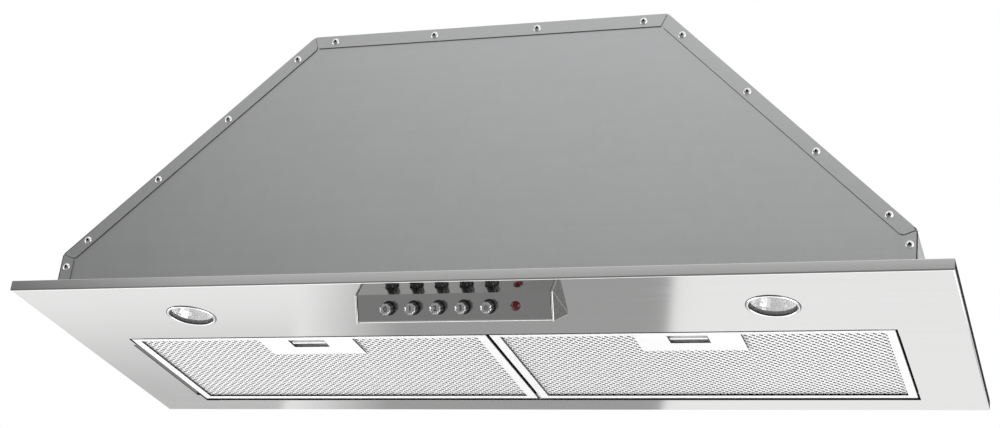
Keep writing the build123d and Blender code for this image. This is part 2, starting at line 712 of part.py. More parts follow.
# Grease filters: channel frame, an expanded sheet under a pad, hinge pins and a sliding latch
latch_front = window_front
cup_roof = filter_top - frame_t - cup_lid_gap
slider_front = latch_front + slider_setback
for side_name, side in (("left", -1), ("right", 1)):
    middle_x = side * filter_middle
    frame_centre = (middle_x, (filter_front + filter_back) / 2)
    frame_size = (filter_out - filter_in, filter_back - filter_front)
    window_centre = (side * (window_in + window_out) / 2, (window_front + window_back) / 2)
    window_size = (window_out - window_in, window_back - window_front)

    with BuildPart() as filter_frame:
        with BuildSketch(Plane.XY.offset(plate_bottom)):
            with Locations(frame_centre):
                Rectangle(*frame_size)
        extrude(amount=filter_t)
        with BuildSketch(Plane.XY.offset(plate_bottom + frame_t)):
            with Locations(frame_centre):
                Rectangle(frame_size[0] - 2 * frame_t, frame_size[1] - 2 * frame_t)
        extrude(amount=filter_t - 2 * frame_t, mode=Mode.SUBTRACT)
        with BuildSketch(Plane.XY.offset(plate_bottom)):
            with Locations(window_centre):
                Rectangle(*window_size)
        extrude(amount=filter_t, mode=Mode.SUBTRACT)
        with BuildSketch(Plane.YZ.offset(middle_x)):
            with Locations((hinge_y, hinge_z)):
                Circle(hinge_pin_r)
        extrude(amount=frame_size[0] / 2, both=True, mode=Mode.SUBTRACT)
        with BuildSketch(upright(filter_front)):
            with Locations((middle_x, slider_z + slider_t / 2)):
                Rectangle(tongue_w + 2 * tongue_slot_gap, slider_t + 2 * tongue_slot_gap)
        extrude(amount=-frame_t, mode=Mode.SUBTRACT)
    filter_frame.part.label = f"{side_name}_filter_frame"
    export_step(filter_frame.part, f"parts/{side_name}_filter_frame.step")

    with BuildPart() as filter_mesh:
        extrude(net_face(*window_centre), amount=mesh_t)
        with BuildSketch(Plane.XY.offset(latch_floor)):
            with Locations((middle_x, latch_front + cup_d / 2)):
                Rectangle(cup_w, cup_d + 2 * pad_overlap)
        extrude(amount=mesh_t, mode=Mode.SUBTRACT)
    filter_mesh.part.label = f"{side_name}_filter_mesh"
    export_step(filter_mesh.part, f"parts/{side_name}_filter_mesh.step")

    with BuildPart() as filter_pad:
        with BuildSketch(Plane.XY.offset(latch_floor + mesh_t)):
            with Locations(window_centre):
                Rectangle(window_size[0] + 2 * pad_overlap, window_size[1] + 2 * pad_overlap)
            with Locations((middle_x, latch_front + cup_d / 2)):
                Rectangle(cup_w, cup_d + 2 * pad_overlap, mode=Mode.SUBTRACT)
        extrude(amount=pad_t)
    filter_pad.part.label = f"{side_name}_filter_pad"
    export_step(filter_pad.part, f"parts/{side_name}_filter_pad.step")

    with BuildPart() as filter_pins:
        inner_reach = filter_in - running_gap
        with BuildSketch(Plane.YZ.offset(side * (filter_in - inner_reach))):
            with Locations((hinge_y, hinge_z)):
                Circle(hinge_pin_r)
        extrude(amount=side * (inner_reach + hinge_pin_grip))
        with BuildSketch(Plane.YZ.offset(side * (filter_out - hinge_pin_grip))):
            with Locations((hinge_y, hinge_z)):
                Circle(hinge_pin_r)
        extrude(amount=side * (hinge_pin_grip + filter_side_gap + plate_t))
    filter_pins.part.label = f"{side_name}_filter_pins"
    export_step(filter_pins.part, f"parts/{side_name}_filter_pins.step")

    with BuildPart() as latch_plate:
        with BuildSketch(Plane.XY.offset(plate_bottom)):
            with Locations((middle_x, latch_front + latch_d / 2)):
                Rectangle(latch_w, latch_d)
        extrude(amount=frame_t)
        with BuildSketch(Plane.XY.offset(latch_floor)):
            with Locations((middle_x, latch_front + cup_d / 2)):
                Rectangle(cup_w, cup_d)
        extrude(amount=cup_roof - latch_floor)
        with BuildSketch(Plane.XY.offset(latch_floor)):
            with Locations((middle_x, latch_front + (cup_d - cup_wall) / 2)):
                Rectangle(cup_w - 2 * cup_wall, cup_d - cup_wall)
        extrude(amount=cup_roof - latch_floor - cup_wall, mode=Mode.SUBTRACT)
        with BuildSketch(Plane.XY.offset(plate_bottom)):
            with Locations((middle_x, slot_middle)):
                Rectangle(slot_w, slot_d)
        extrude(amount=frame_t, mode=Mode.SUBTRACT)
    latch_plate.part.label = f"{side_name}_latch_plate"
    export_step(latch_plate.part, f"parts/{side_name}_latch_plate.step")

    with BuildPart() as latch_slider:
        with BuildSketch(Plane.XY.offset(slider_z)):
            with Locations((middle_x, slider_front + slider_d / 2)):
                Rectangle(cup_w - 2 * cup_wall - 2 * running_gap, slider_d)
            tongue_tip = opening_front + running_gap
            with Locations((middle_x, (tongue_tip + slider_front) / 2)):
                Rectangle(tongue_w, slider_front - tongue_tip)
        extrude(amount=slider_t)
        with BuildSketch(Plane.XY.offset(plate_bottom + grip_recess)):
            with Locations((middle_x, slot_middle)):
                Rectangle(grip_w, grip_t)
        extrude(amount=slider_z - plate_bottom - grip_recess)
    latch_slider.part.label = f"{side_name}_latch_slider"
    export_step(latch_slider.part, f"parts/{side_name}_latch_slider.step")

# Hanger between the filters, which carries their inner hinge pins
with BuildPart() as centre_hanger:
    with BuildSketch(Plane.YZ):
        with Locations((opening_back - hanger_reach / 2, hinge_z)):
            Rectangle(hanger_reach, filter_t - 2 * frame_t)
    extrude(amount=hanger_t / 2, both=True)
    with BuildSketch(upright(opening_back)):
        with Locations((0, hinge_z)):
            Rectangle(hanger_foot_w, filter_t - 2 * frame_t)
    extrude(amount=casing_t)
    with BuildSketch(Plane.YZ):
        with Locations((hinge_y, hinge_z)):
            Circle(hinge_pin_r + pin_gap)
    extrude(amount=hanger_t, both=True, mode=Mode.SUBTRACT)
centre_hanger.part.label = "centre_hanger"
export_step(centre_hanger.part, "parts/centre_hanger.step")


def scroll_outline(wall):
    """Draw the scroll's section, grown outwards by wall, as a closed wire in (y, z)."""
    shift = scroll_r2 - scroll_r1
    rise = scroll_r3 - scroll_r2
    lean = degrees(asin(wall / (scroll_r1 + wall)))
    front = (blower_y - wall, ceiling_z)
    back = (scroll_back + wall, ceiling_z)
    upper = CenterArc((blower_y, blower_z), scroll_r1 + wall, 90 + lean, 90 - lean)
    CenterArc((blower_y + shift, blower_z), scroll_r2 + wall, 180, 90)
    lower = CenterArc((blower_y + shift, blower_z + rise), scroll_r3 + wall, 270, 90)
    Polyline(lower @ 1, back, front, upper @ 0)


# Scroll: the wrapped strip and its two sides, which hang from the casing's top by folded flanges
with BuildPart() as scroll_wrap:
    with BuildSketch(Plane.YZ.offset(-scroll_side_x)):
        with BuildLine():
            scroll_outline(casing_t)
        make_face()
        with BuildLine():
            scroll_outline(0)
        make_face(mode=Mode.SUBTRACT)
    extrude(amount=scroll_w)
scroll_wrap.part.label = "scroll_wrap"
export_step(scroll_wrap.part, "parts/scroll_wrap.step")

for side_name, side in (("left", -1), ("right", 1)):
    with BuildPart() as scroll_side:
        with BuildSketch(Plane.YZ.offset(side * scroll_side_x)):
            with BuildLine():
                scroll_outline(scroll_hem)
            make_face()
            with Locations((blower_y, blower_z)):
                Circle(inlet_r, mode=Mode.SUBTRACT)
        extrude(amount=side * casing_t)
        with BuildSketch(Plane.XY.offset(ceiling_z)):
            with Locations((side * (scroll_side_x + (casing_t + scroll_flange_w) / 2), collar_y)):
                Rectangle(scroll_flange_w + casing_t, scroll_flange_d)
            with Locations((side * top_screw_x, collar_y)):
                with GridLocations(0, top_screw_pitch, 1, 2):
                    Circle(top_screw_r + screw_gap, mode=Mode.SUBTRACT)
        extrude(amount=-casing_t)
        if side < 0:
            with BuildSketch(Plane.YZ.offset(side * scroll_side_x)):
                with Locations((blower_y, blower_z)):
                    with PolarLocations(bracket_reach, bracket_arm_count, start_angle=90):
                        Circle(motor_bush_neck_r)
            extrude(amount=side * casing_t, mode=Mode.SUBTRACT)
    scroll_side.part.label = f"scroll_{side_name}_side"
    export_step(scroll_side.part, f"parts/scroll_{side_name}_side.step")

# Impeller: hub disc, drum of leaning blades and two end rings
with BuildPart() as impeller:
    with BuildSketch(Plane.YZ.offset(-impeller_hub_t / 2)):
        with Locations((blower_y, blower_z)):
            Circle(impeller_hub_r)
    extrude(amount=impeller_hub_t)
    with BuildSketch(Plane.YZ.offset(-impeller_hub_t / 2)):
        with Locations((blower_y, blower_z)):
            Circle(boss_r)
    extrude(amount=boss_l)
    with BuildSketch(Plane.YZ.offset(-impeller_w / 2)):
        with Locations((blower_y, blower_z)):
            with PolarLocations((impeller_r + impeller_eye_r) / 2, blade_count):
                Rectangle(impeller_r - impeller_eye_r - blade_t, blade_t, rotation=blade_lean)
    extrude(amount=impeller_w)
    for ring_x in (-impeller_w / 2 - impeller_ring_t, impeller_w / 2):
        with BuildSketch(Plane.YZ.offset(ring_x)):
            with Locations((blower_y, blower_z)):
                Circle(impeller_r)
                Circle(impeller_eye_r, mode=Mode.SUBTRACT)
        extrude(amount=impeller_ring_t)
    with BuildSketch(Plane.YZ.offset(-impeller_hub_t)):
        with Locations((blower_y, blower_z)):
            Circle(shaft_r)
    extrude(amount=boss_l + impeller_hub_t, mode=Mode.SUBTRACT)
impeller.part.label = "impeller"
export_step(impeller.part, "parts/impeller.step")

with BuildPart() as motor_shaft:
    with BuildSketch(Plane.YZ.offset(-motor_inner_end - shaft_grip)):
        with Locations((blower_y, blower_z)):
            Circle(shaft_r)
    extrude(amount=motor_inner_end + shaft_grip + boss_l)
motor_shaft.part.label = "motor_shaft"
export_step(motor_shaft.part, "parts/motor_shaft.step")

# Motor in the left-hand eye of the impeller, on a three-armed bracket with rubber bushes
with BuildPart() as motor_body:
    with BuildSketch(Plane.YZ.offset(-motor_inner_end)):
        with Locations((blower_y, blower_z)):
            Circle(motor_cap_r)
    extrude(amount=-motor_l)
    with BuildSketch(Plane.YZ.offset(-motor_inner_end - motor_cap_l)):
        with Locations((blower_y, blower_z)):
            Circle(motor_r)
    extrude(amount=-motor_l + 2 * motor_cap_l)
    with BuildSketch(Plane.YZ.offset(-motor_inner_end)):
        with Locations((blower_y, blower_z)):
            Circle(shaft_r + screw_gap)
    extrude(amount=-shaft_grip - running_gap, mode=Mode.SUBTRACT)
motor_body.part.label = "motor_body"
export_step(motor_body.part, "parts/motor_body.step")

bracket_x = -scroll_side_x - casing_t - motor_bush_h
with BuildPart() as motor_bracket:
    with BuildSketch(Plane.YZ.offset(bracket_x)):
        with Locations((blower_y, blower_z)):
            Circle(motor_cap_r + bracket_ring)
            with PolarLocations((motor_cap_r + bracket_reach) / 2, bracket_arm_count, start_angle=90):
                Rectangle(bracket_reach - motor_cap_r, bracket_arm_w)
            with PolarLocations(bracket_reach, bracket_arm_count, start_angle=90):
                Circle(bracket_arm_w / 2)
            Circle(motor_cap_r, mode=Mode.SUBTRACT)
            with PolarLocations(bracket_reach, bracket_arm_count, start_angle=90):
                Circle(motor_bush_neck_r, mode=Mode.SUBTRACT)
    extrude(amount=-bracket_t)
motor_bracket.part.label = "motor_bracket"
export_step(motor_bracket.part, "parts/motor_bracket.step")

with BuildPart() as motor_bushes:
    with BuildSketch(Plane.YZ.offset(bracket_x)):
        with Locations((blower_y, blower_z)):
            with PolarLocations(bracket_reach, bracket_arm_count, start_angle=90):
                Circle(motor_bush_r)
    extrude(amount=motor_bush_h)
    with BuildSketch(Plane.YZ.offset(bracket_x - bracket_t)):
        with Locations((blower_y, blower_z)):
            with PolarLocations(bracket_reach, bracket_arm_count, start_angle=90):
                Circle(motor_bush_neck_r)
    extrude(amount=bracket_t + motor_bush_h + casing_t)
motor_bushes.part.label = "motor_bushes"
export_step(motor_bushes.part, "parts/motor_bushes.step")

# Outlet collar on a flat base, with the screws that also hold the scroll
collar_base_w = 2 * (scroll_side_x + casing_t + scroll_flange_w)
with BuildPart() as duct_collar:
    with BuildSketch(Plane.XY.offset(casing_top_z)):
        with Locations((0, collar_y)):
            RectangleRounded(collar_base_w, collar_base_d, collar_base_corner)
            with GridLocations(2 * top_screw_x, top_screw_pitch, 2, 2):
                Circle(top_screw_r + screw_gap, mode=Mode.SUBTRACT)
    extrude(amount=collar_base_t)
    with BuildSketch(Plane.XY.offset(casing_top_z)):
        with Locations((0, collar_y)):
            Circle(collar_r)
    extrude(amount=collar_h)
    with BuildSketch(Plane.XY.offset(casing_top_z)):
        with Locations((0, collar_y)):
            Circle(collar_inner_r)
    extrude(amount=collar_h, mode=Mode.SUBTRACT)
    with BuildSketch(Plane.YZ):
        with Locations((collar_y, damper_axis_z)):
            Circle(damper_pin_r)
    extrude(amount=collar_r, both=True, mode=Mode.SUBTRACT)
duct_collar.part.label = "duct_collar"
export_step(duct_collar.part, "parts/duct_collar.step")

screw_seat = casing_top_z + collar_base_t
with BuildPart() as top_screws:
    with BuildSketch(Plane.XY.offset(screw_seat)):
        with Locations((0, collar_y)):
            with GridLocations(2 * top_screw_x, top_screw_pitch, 2, 2):
                Circle(top_screw_head_r)
    extrude(amount=top_screw_head_h)
    fillet(top_screws.faces().group_by(Axis.Z)[-1].edges(), top_screw_round)
    with BuildSketch(Plane.XY.offset(screw_seat)):
        with Locations((0, collar_y)):
            with GridLocations(2 * top_screw_x, top_screw_pitch, 2, 2):
                Circle(top_screw_r)
    extrude(amount=-top_screw_l)
top_screws.part.label = "top_screws"
export_step(top_screws.part, "parts/top_screws.step")

with BuildPart() as damper_pin:
    with BuildSketch(Plane.YZ):
        with Locations((collar_y, damper_axis_z)):
            Circle(damper_pin_r)
    extrude(amount=collar_r, both=True)
damper_pin.part.label = "damper_pin"
export_step(damper_pin.part, "parts/damper_pin.step")

# Two half-round flaps that lie on the ledge and hinge up about one pin
hinge_clear = damper_knuckle_r + running_gap
for flap_name, side in (("front", -1), ("rear", 1)):
    knuckle_xs = (side * damper_knuckle_x, -side * damper_knuckle_inner_x)
    with BuildPart() as damper_flap:
        with BuildSketch(Plane.XY.offset(damper_z)):
            with Locations((0, collar_y)):
                Circle(damper_r)
                with Locations((0, -side * (damper_r - hinge_clear))):
                    Rectangle(2 * damper_r, 2 * damper_r, mode=Mode.SUBTRACT)
                for knuckle_x in knuckle_xs:
                    with Locations((knuckle_x, side * hinge_clear / 2)):
                        Rectangle(damper_knuckle_l, hinge_clear)
        extrude(amount=damper_t)
        for knuckle_x in knuckle_xs:
            with Locations(Location((knuckle_x, collar_y, damper_axis_z), (0, 90, 0))):
                Cylinder(damper_knuckle_r, damper_knuckle_l)
        with Locations(Location((0, collar_y, damper_axis_z), (0, 90, 0))):
            Cylinder(damper_pin_r + pin_gap, 2 * damper_r, mode=Mode.SUBTRACT)
    damper_flap.part.label = f"{flap_name}_damper_flap"
    export_step(damper_flap.part, f"parts/{flap_name}_damper_flap.step")

# Junction box on the rear panel, its cover, terminal block and the cable gland
junction_front = rear_inner - junction_d
with BuildPart() as junction_box:
    with BuildSketch(upright(junction_front)):
        with Locations((junction_x, junction_z)):
            Rectangle(junction_w, junction_h)
    extrude(amount=-junction_d)
    with BuildSketch(upright(junction_front)):
        with Locations((junction_x, junction_z)):
            Rectangle(junction_w - 2 * junction_t, junction_h - 2 * junction_t)
    extrude(amount=-junction_d + junction_t, mode=Mode.SUBTRACT)
    with BuildSketch(upright(rear_inner)):
        with Locations((junction_x + gland_x, junction_z)):
            Circle(gland_thread_r + screw_gap)
    extrude(amount=junction_t, mode=Mode.SUBTRACT)
junction_box.part.label = "junction_box"
export_step(junction_box.part, "parts/junction_box.step")

with BuildPart() as junction_cover:
    with BuildSketch(upright(junction_front)):
        with Locations((junction_x, junction_z)):
            RectangleRounded(junction_w, junction_h, junction_corner)
    extrude(amount=junction_t)
junction_cover.part.label = "junction_cover"
export_step(junction_cover.part, "parts/junction_cover.step")

with BuildPart() as terminal_block:
    with BuildSketch(upright(rear_inner - junction_t)):
        with Locations((junction_x + terminal_x, junction_z)):
            Rectangle(terminal_w, terminal_h)
    extrude(amount=terminal_d)
    with BuildSketch(upright(rear_inner - junction_t - terminal_d)):
        with Locations((junction_x + terminal_x, junction_z)):
            with GridLocations(terminal_w / terminal_way_count, terminal_h / 2, terminal_way_count, 2):
                Circle(terminal_screw_r)
    extrude(amount=-terminal_screw_depth, mode=Mode.SUBTRACT)
terminal_block.part.label = "terminal_block"
export_step(terminal_block.part, "parts/terminal_block.step")

gland_inner = rear_inner - junction_t
with BuildPart() as cable_gland:
    with BuildSketch(upright(gland_inner - gland_nut_h)):
        with Locations((junction_x + gland_x, junction_z)):
            Circle(gland_thread_r)
    extrude(amount=-gland_nut_h - junction_t - casing_t)
    with BuildSketch(upright(gland_inner)):
        with Locations((junction_x + gland_x, junction_z)):
            RegularPolygon(gland_flange_r, 6)
    extrude(amount=gland_nut_h)
    with BuildSketch(upright(rear_inner + casing_t)):
        with Locations((junction_x + gland_x, junction_z)):
            RegularPolygon(gland_flange_r, 6)
    extrude(amount=-gland_flange_h)
    with BuildSketch(upright(rear_inner + casing_t + gland_flange_h)):
        with Locations((junction_x + gland_x, junction_z)):
            Circle(gland_dome_r)
    extrude(amount=-gland_dome_h)
    fillet(cable_gland.faces().sort_by(Axis.Y)[-1].edges(), gland_dome_round)
    with BuildSketch(upright(gland_inner - gland_nut_h)):
        with Locations((junction_x + gland_x, junction_z)):
            Circle(gland_bore_r)
    extrude(amount=-plate_d, mode=Mode.SUBTRACT)
cable_gland.part.label = "cable_gland"
export_step(cable_gland.part, "parts/cable_gland.step")

# Lamp transformer with fixing ears, and the motor capacitor under its clip
with BuildPart() as lamp_transformer:
    with BuildSketch(upright(rear_inner)):
        with Locations((transformer_x, transformer_z)):
            Rectangle(transformer_w, transformer_h)
    extrude(amount=transformer_d)
    with BuildSketch(upright(rear_inner)):
        with Locations((transformer_x, transformer_z)):
            Rectangle(transformer_w + 2 * transformer_ear, transformer_ear_h)
    extrude(amount=transformer_ear_t)
lamp_transformer.part.label = "lamp_transformer"
export_step(lamp_transformer.part, "parts/lamp_transformer.step")

capacitor_y = rear_inner - capacitor_r
with BuildPart() as capacitor:
    with BuildSketch(Plane.YZ.offset(capacitor_x - capacitor_l / 2)):
        with Locations((capacitor_y, capacitor_z)):
            Circle(capacitor_r)
    extrude(amount=capacitor_l)
    fillet(capacitor.edges().filter_by(GeomType.CIRCLE), capacitor_round)
capacitor.part.label = "capacitor"
export_step(capacitor.part, "parts/capacitor.step")

with BuildPart() as capacitor_clip:
    with BuildSketch(Plane.YZ.offset(capacitor_x - clip_w / 2)):
        with Locations((capacitor_y, capacitor_z)):
            Circle(capacitor_r + clip_t)
        with Locations((rear_inner - capacitor_r / 2, capacitor_z)):
            Rectangle(capacitor_r, 2 * (capacitor_r + clip_t))
        with Locations((rear_inner - clip_t / 2, capacitor_z)):
            Rectangle(clip_t, 2 * (capacitor_r + clip_t + clip_ear))
        with Locations((capacitor_y, capacitor_z)):
            Circle(capacitor_r, mode=Mode.SUBTRACT)
        with Locations((rear_inner - capacitor_r / 2, capacitor_z)):
            Rectangle(capacitor_r, 2 * capacitor_r, mode=Mode.SUBTRACT)
        with Locations((rear_inner + capacitor_r, capacitor_z)):
            Rectangle(2 * capacitor_r, 4 * (capacitor_r + clip_ear), mode=Mode.SUBTRACT)
    extrude(amount=clip_w)
capacitor_clip.part.label = "capacitor_clip"
export_step(capacitor_clip.part, "parts/capacitor_clip.step")
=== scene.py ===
"""Looks of a built-in range hood: detailed pieces, finishes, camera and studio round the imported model."""

from __future__ import annotations

import json
import logging
import math
from dataclasses import dataclass
from enum import Enum
from typing import Callable, Iterable, Sequence

import bmesh
import bpy
from mathutils import Matrix, Vector

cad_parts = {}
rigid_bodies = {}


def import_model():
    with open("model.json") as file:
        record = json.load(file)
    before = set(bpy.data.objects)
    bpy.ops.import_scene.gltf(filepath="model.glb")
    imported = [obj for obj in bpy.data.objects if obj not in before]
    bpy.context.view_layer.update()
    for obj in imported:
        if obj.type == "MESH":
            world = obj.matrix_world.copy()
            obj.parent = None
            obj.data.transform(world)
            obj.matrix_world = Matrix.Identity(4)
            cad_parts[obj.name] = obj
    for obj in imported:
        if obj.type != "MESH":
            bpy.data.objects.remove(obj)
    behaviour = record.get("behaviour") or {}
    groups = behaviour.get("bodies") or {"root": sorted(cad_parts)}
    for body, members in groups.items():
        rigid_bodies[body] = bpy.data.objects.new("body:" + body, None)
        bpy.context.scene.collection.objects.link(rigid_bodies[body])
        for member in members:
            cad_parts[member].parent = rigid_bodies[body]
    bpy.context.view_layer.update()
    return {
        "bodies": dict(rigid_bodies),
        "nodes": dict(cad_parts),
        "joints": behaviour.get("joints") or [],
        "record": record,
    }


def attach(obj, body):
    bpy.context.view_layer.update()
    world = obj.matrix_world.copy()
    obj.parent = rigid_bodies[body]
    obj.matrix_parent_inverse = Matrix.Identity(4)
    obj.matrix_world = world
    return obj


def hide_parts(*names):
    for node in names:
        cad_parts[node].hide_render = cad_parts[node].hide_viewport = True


LOG = logging.getLogger("range_hood")
MM = 0.001
FULL_TURN = 2 * math.pi
WHITE = (1.0, 1.0, 1.0, 1.0)
SMOOTH = 32.0
Point = Sequence[float]
Pairs = Sequence[tuple[float, float]]
Edges = list[bmesh.types.BMEdge]


class Side(Enum):
    """The two sides of the hood, seen from the front."""

    LEFT = -1
    RIGHT = 1

    @property
    def word(self) -> str:
        """The side's name as the nodes spell it."""
        return self.name.lower()


class Slot(Enum):
    """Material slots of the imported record."""

    POLISHED = "polished_steel"
    GALVANISED = "galvanised_steel"
    BRIGHT = "bright_steel"
    RIVET = "rivet_aluminium"
    CHROME = "button_chrome"
    ALUMINIUM = "filter_aluminium"
    MIRROR = "lamp_mirror"
    GLASS = "lamp_glass"
    RED = "red_lens"
    BLACK = "black_plastic"
    GREY = "grey_plastic"
    WHITE = "white_plastic"
    MOTOR = "motor_paint"
    RUBBER = "black_rubber"


class Expr:
    """A shader value; arithmetic on it adds Math nodes to its graph."""

    def __init__(self, graph: Graph, socket: bpy.types.NodeSocket) -> None:
        """Wrap an output socket of a graph."""
        self.graph = graph
        self.socket = socket

    def _math(self, operation: str, first: Expr | float, second: Expr | float) -> Expr:
        """The result of one new Math node."""
        return self.graph.node("ShaderNodeMath", {"operation": operation}, {0: first, 1: second})

    def __add__(self, other: Expr | float) -> Expr:
        """Sum."""
        return self._math("ADD", self, other)

    __radd__ = __add__

    def __sub__(self, other: Expr | float) -> Expr:
        """Difference."""
        return self._math("SUBTRACT", self, other)

    def __rsub__(self, other: float) -> Expr:
        """Difference from a number."""
        return self._math("SUBTRACT", other, self)

    def __mul__(self, other: Expr | float) -> Expr:
        """Product."""
        return self._math("MULTIPLY", self, other)

    __rmul__ = __mul__

    def at_most(self, other: Expr | float) -> Expr:
        """The smaller of two values."""
        return self._math("MINIMUM", self, other)


class Graph:
    """A node tree that is written as expressions."""

    def __init__(self, tree: bpy.types.NodeTree) -> None:
        """Take over a node tree and empty it."""
        self.tree = tree
        tree.nodes.clear()

    def node(
        self, kind: str, settings: dict | None = None, values: dict | None = None, out: int | str = 0
    ) -> Expr:
        """Add one node.

        Args:
            kind: The node's type.
            settings: Its properties; "stops" gives a ramp's (place, grey value) pairs.
            values: Numbers, colours or expressions for its input sockets, by name or index.
            out: The output that is wanted.

        Returns:
            The wanted output.
        """
        node = self.tree.nodes.new(kind)
        for key, value in (settings or {}).items():
            if key == "stops":
                self._set_stops(node.color_ramp, value)
            else:
                setattr(node, key, value)
        for key, value in (values or {}).items():
            if isinstance(value, Expr):
                self.tree.links.new(value.socket, node.inputs[key])
            else:
                node.inputs[key].default_value = value
        return Expr(self, node.outputs[out])

    @staticmethod
    def _set_stops(ramp: bpy.types.ColorRamp, stops: Pairs) -> None:
        """Give a ramp grey stops.

        Args:
            ramp: The ramp.
            stops: (place, grey value) pairs in order.
        """
        while len(ramp.elements) < len(stops):
            ramp.elements.new(1.0)
        for element, (place, grey) in zip(ramp.elements, stops):
            element.position = place
            element.color = (grey, grey, grey, 1.0)

    def object_point(self, scale: Point = (1, 1, 1), turn: Point = (0, 0, 0)) -> Expr:
        """Object coordinates, scaled along each axis and turned by radians."""
        point = self.node("ShaderNodeTexCoord", out="Object")
        return self.node("ShaderNodeMapping", {}, {"Vector": point, "Scale": scale, "Rotation": turn})

    def noise(self, point: Expr, scale: float = 1.0, detail: float = 2.0, rough: float = 0.5) -> Expr:
        """A noise value from 0 to 1."""
        values = {"Vector": point, "Scale": scale, "Detail": detail, "Roughness": rough}
        return self.node("ShaderNodeTexNoise", {}, values)

    def cells(self, point: Expr, scale: float, out: str = "Distance") -> Expr:
        """A pattern of cells: the distance to their middles, or a colour for each."""
        return self.node("ShaderNodeTexVoronoi", {}, {"Vector": point, "Scale": scale}, out)

    def blend(self, share: Expr, low: Point, high: Point) -> Expr:
        """A colour between two colours: share 0 gives low and 1 gives high."""
        values = {0: share, 6: (*low, 1.0), 7: (*high, 1.0)}
        return self.node("ShaderNodeMix", {"data_type": "RGBA"}, values, out=2)

    def bump(self, height: Expr, depth: float, strength: float) -> Expr:
        """A normal bumped by a height from 0 to 1, where 1 stands for depth in metres."""
        return self.node("ShaderNodeBump", {}, {"Height": height, "Distance": depth, "Strength": strength})

    def surface(self, **values: Expr | float | Point) -> None:
        """Add the Principled shader and the output.

        Args:
            values: Socket values, with underscores for spaces in the names.
        """
        named = {key.replace("_", " "): value for key, value in values.items()}
        shader = self.node("ShaderNodeBsdfPrincipled", {}, named)
        self.output(shader)

    def output(self, shader: Expr, kind: str = "ShaderNodeOutputMaterial") -> None:
        """Link a shader to a new output node."""
        node = self.tree.nodes.new(kind)
        self.tree.links.new(shader.socket, node.inputs["Surface"])


def new_material(name: str) -> tuple[bpy.types.Material, Graph]:
    """A new material with an empty graph.

    Args:
        name: Its name.

    Returns:
        The material and its graph.
    """
    made = bpy.data.materials.new(name)
    made.use_nodes = True
    return made, Graph(made.node_tree)


def scaled(tint: Point, factor: float) -> Point:
    """A tint made darker, or lighter up to white."""
    return tuple(min(1.0, channel * factor) for channel in tint)


class Finish:
    """A finish that makes its material once."""

    name: str

    def material(self) -> bpy.types.Material:
        """The finish's material.

        Returns:
            The material, made on the first call.
        """
        made = bpy.data.materials.get(self.name)
        if made is None:
            made, graph = new_material(self.name)
            self.draw(graph)
        return made

    def draw(self, graph: Graph) -> None:
        """Write the finish's nodes."""
        raise NotImplementedError


@dataclass(frozen=True)
class BrushedSteel(Finish):
    """Polished stainless sheet with fine brush lines along X."""

    name: str
    tint: Point
    roughness: float
    line_pitch: float = 0.7 * MM
    line_run: float = 160 * MM
    line_depth: float = 0.004 * MM
    contrast: float = 0.05

    def draw(self, graph: Graph) -> None:
        """Write fine and broad streaks into colour, roughness and bump.

        Args:
            graph: The material's graph.
        """
        thin, thick = 1 / self.line_pitch, 1 / (9 * self.line_pitch)
        fine = graph.noise(graph.object_point((1 / self.line_run, thin, thin)), detail=3.0)
        broad = graph.noise(graph.object_point((0.6 / self.line_run, thick, thick)))
        smear = graph.noise(graph.object_point((7, 11, 11)))
        streak = fine * 0.6 + broad * 0.4
        dark, light = scaled(self.tint, 1 - self.contrast), scaled(self.tint, 1 + self.contrast)
        graph.surface(
            Base_Color=graph.blend(streak, dark, light),
            Metallic=1.0,
            Roughness=streak * 0.07 + smear * 0.03 + (self.roughness - 0.05),
            Normal=graph.bump(fine, self.line_depth, 0.6),
        )


@dataclass(frozen=True)
class GalvanisedSheet(Finish):
    """Dull zinc-coated sheet with a faint spangle and rolling lines."""

    name: str
    tint: Point
    roughness: float = 0.38
    spangle: float = 11 * MM
    contrast: float = 0.1

    def draw(self, graph: Graph) -> None:
        """Write the spangle, rolling lines and fine grain.

        Args:
            graph: The material's graph.
        """
        cells = graph.cells(graph.object_point(), 1 / self.spangle, "Color")
        spangle = graph.node("ShaderNodeSeparateColor", {}, {"Color": cells})
        rolled = graph.noise(graph.object_point((5, 420, 420)))
        cloud = graph.noise(graph.object_point(), 9.0, 3.0)
        grain = graph.noise(graph.object_point(), 2600.0, 2.0, 0.6)
        shade = spangle * 0.12 + rolled * 0.28 + cloud * 0.35 + grain * 0.25
        dark, light = scaled(self.tint, 1 - self.contrast), scaled(self.tint, 1 + self.contrast)
        graph.surface(
            Base_Color=graph.blend(shade, dark, light),
            Metallic=1.0,
            Roughness=shade * 0.12 + (self.roughness - 0.06),
            Normal=graph.bump(grain * 0.7 + spangle * 0.3, 0.02 * MM, 0.25),
        )


@dataclass(frozen=True)
class PlainMetal(Finish):
    """Plated, turned or rolled metal with a light grain and handling marks."""

    name: str
    tint: Point
    roughness: float
    metallic: float = 1.0
    contrast: float = 0.06
    grain_pitch: float = 1.5 * MM
    grain_depth: float = 0.004 * MM

    def draw(self, graph: Graph) -> None:
        """Write grain into colour, roughness and bump.

        Args:
            graph: The material's graph.
        """
        grain = graph.noise(graph.object_point(), 1 / self.grain_pitch, 3.0, 0.6)
        marks = graph.noise(graph.object_point((40, 140, 90)), detail=3.0)
        shade = grain * 0.45 + marks * 0.55
        dark, light = scaled(self.tint, 1 - self.contrast), scaled(self.tint, 1 + self.contrast)
        graph.surface(
            Base_Color=graph.blend(shade, dark, light),
            Metallic=self.metallic,
            Roughness=shade * 0.1 + (self.roughness - 0.05),
            Normal=graph.bump(grain, self.grain_depth, 0.4),
        )


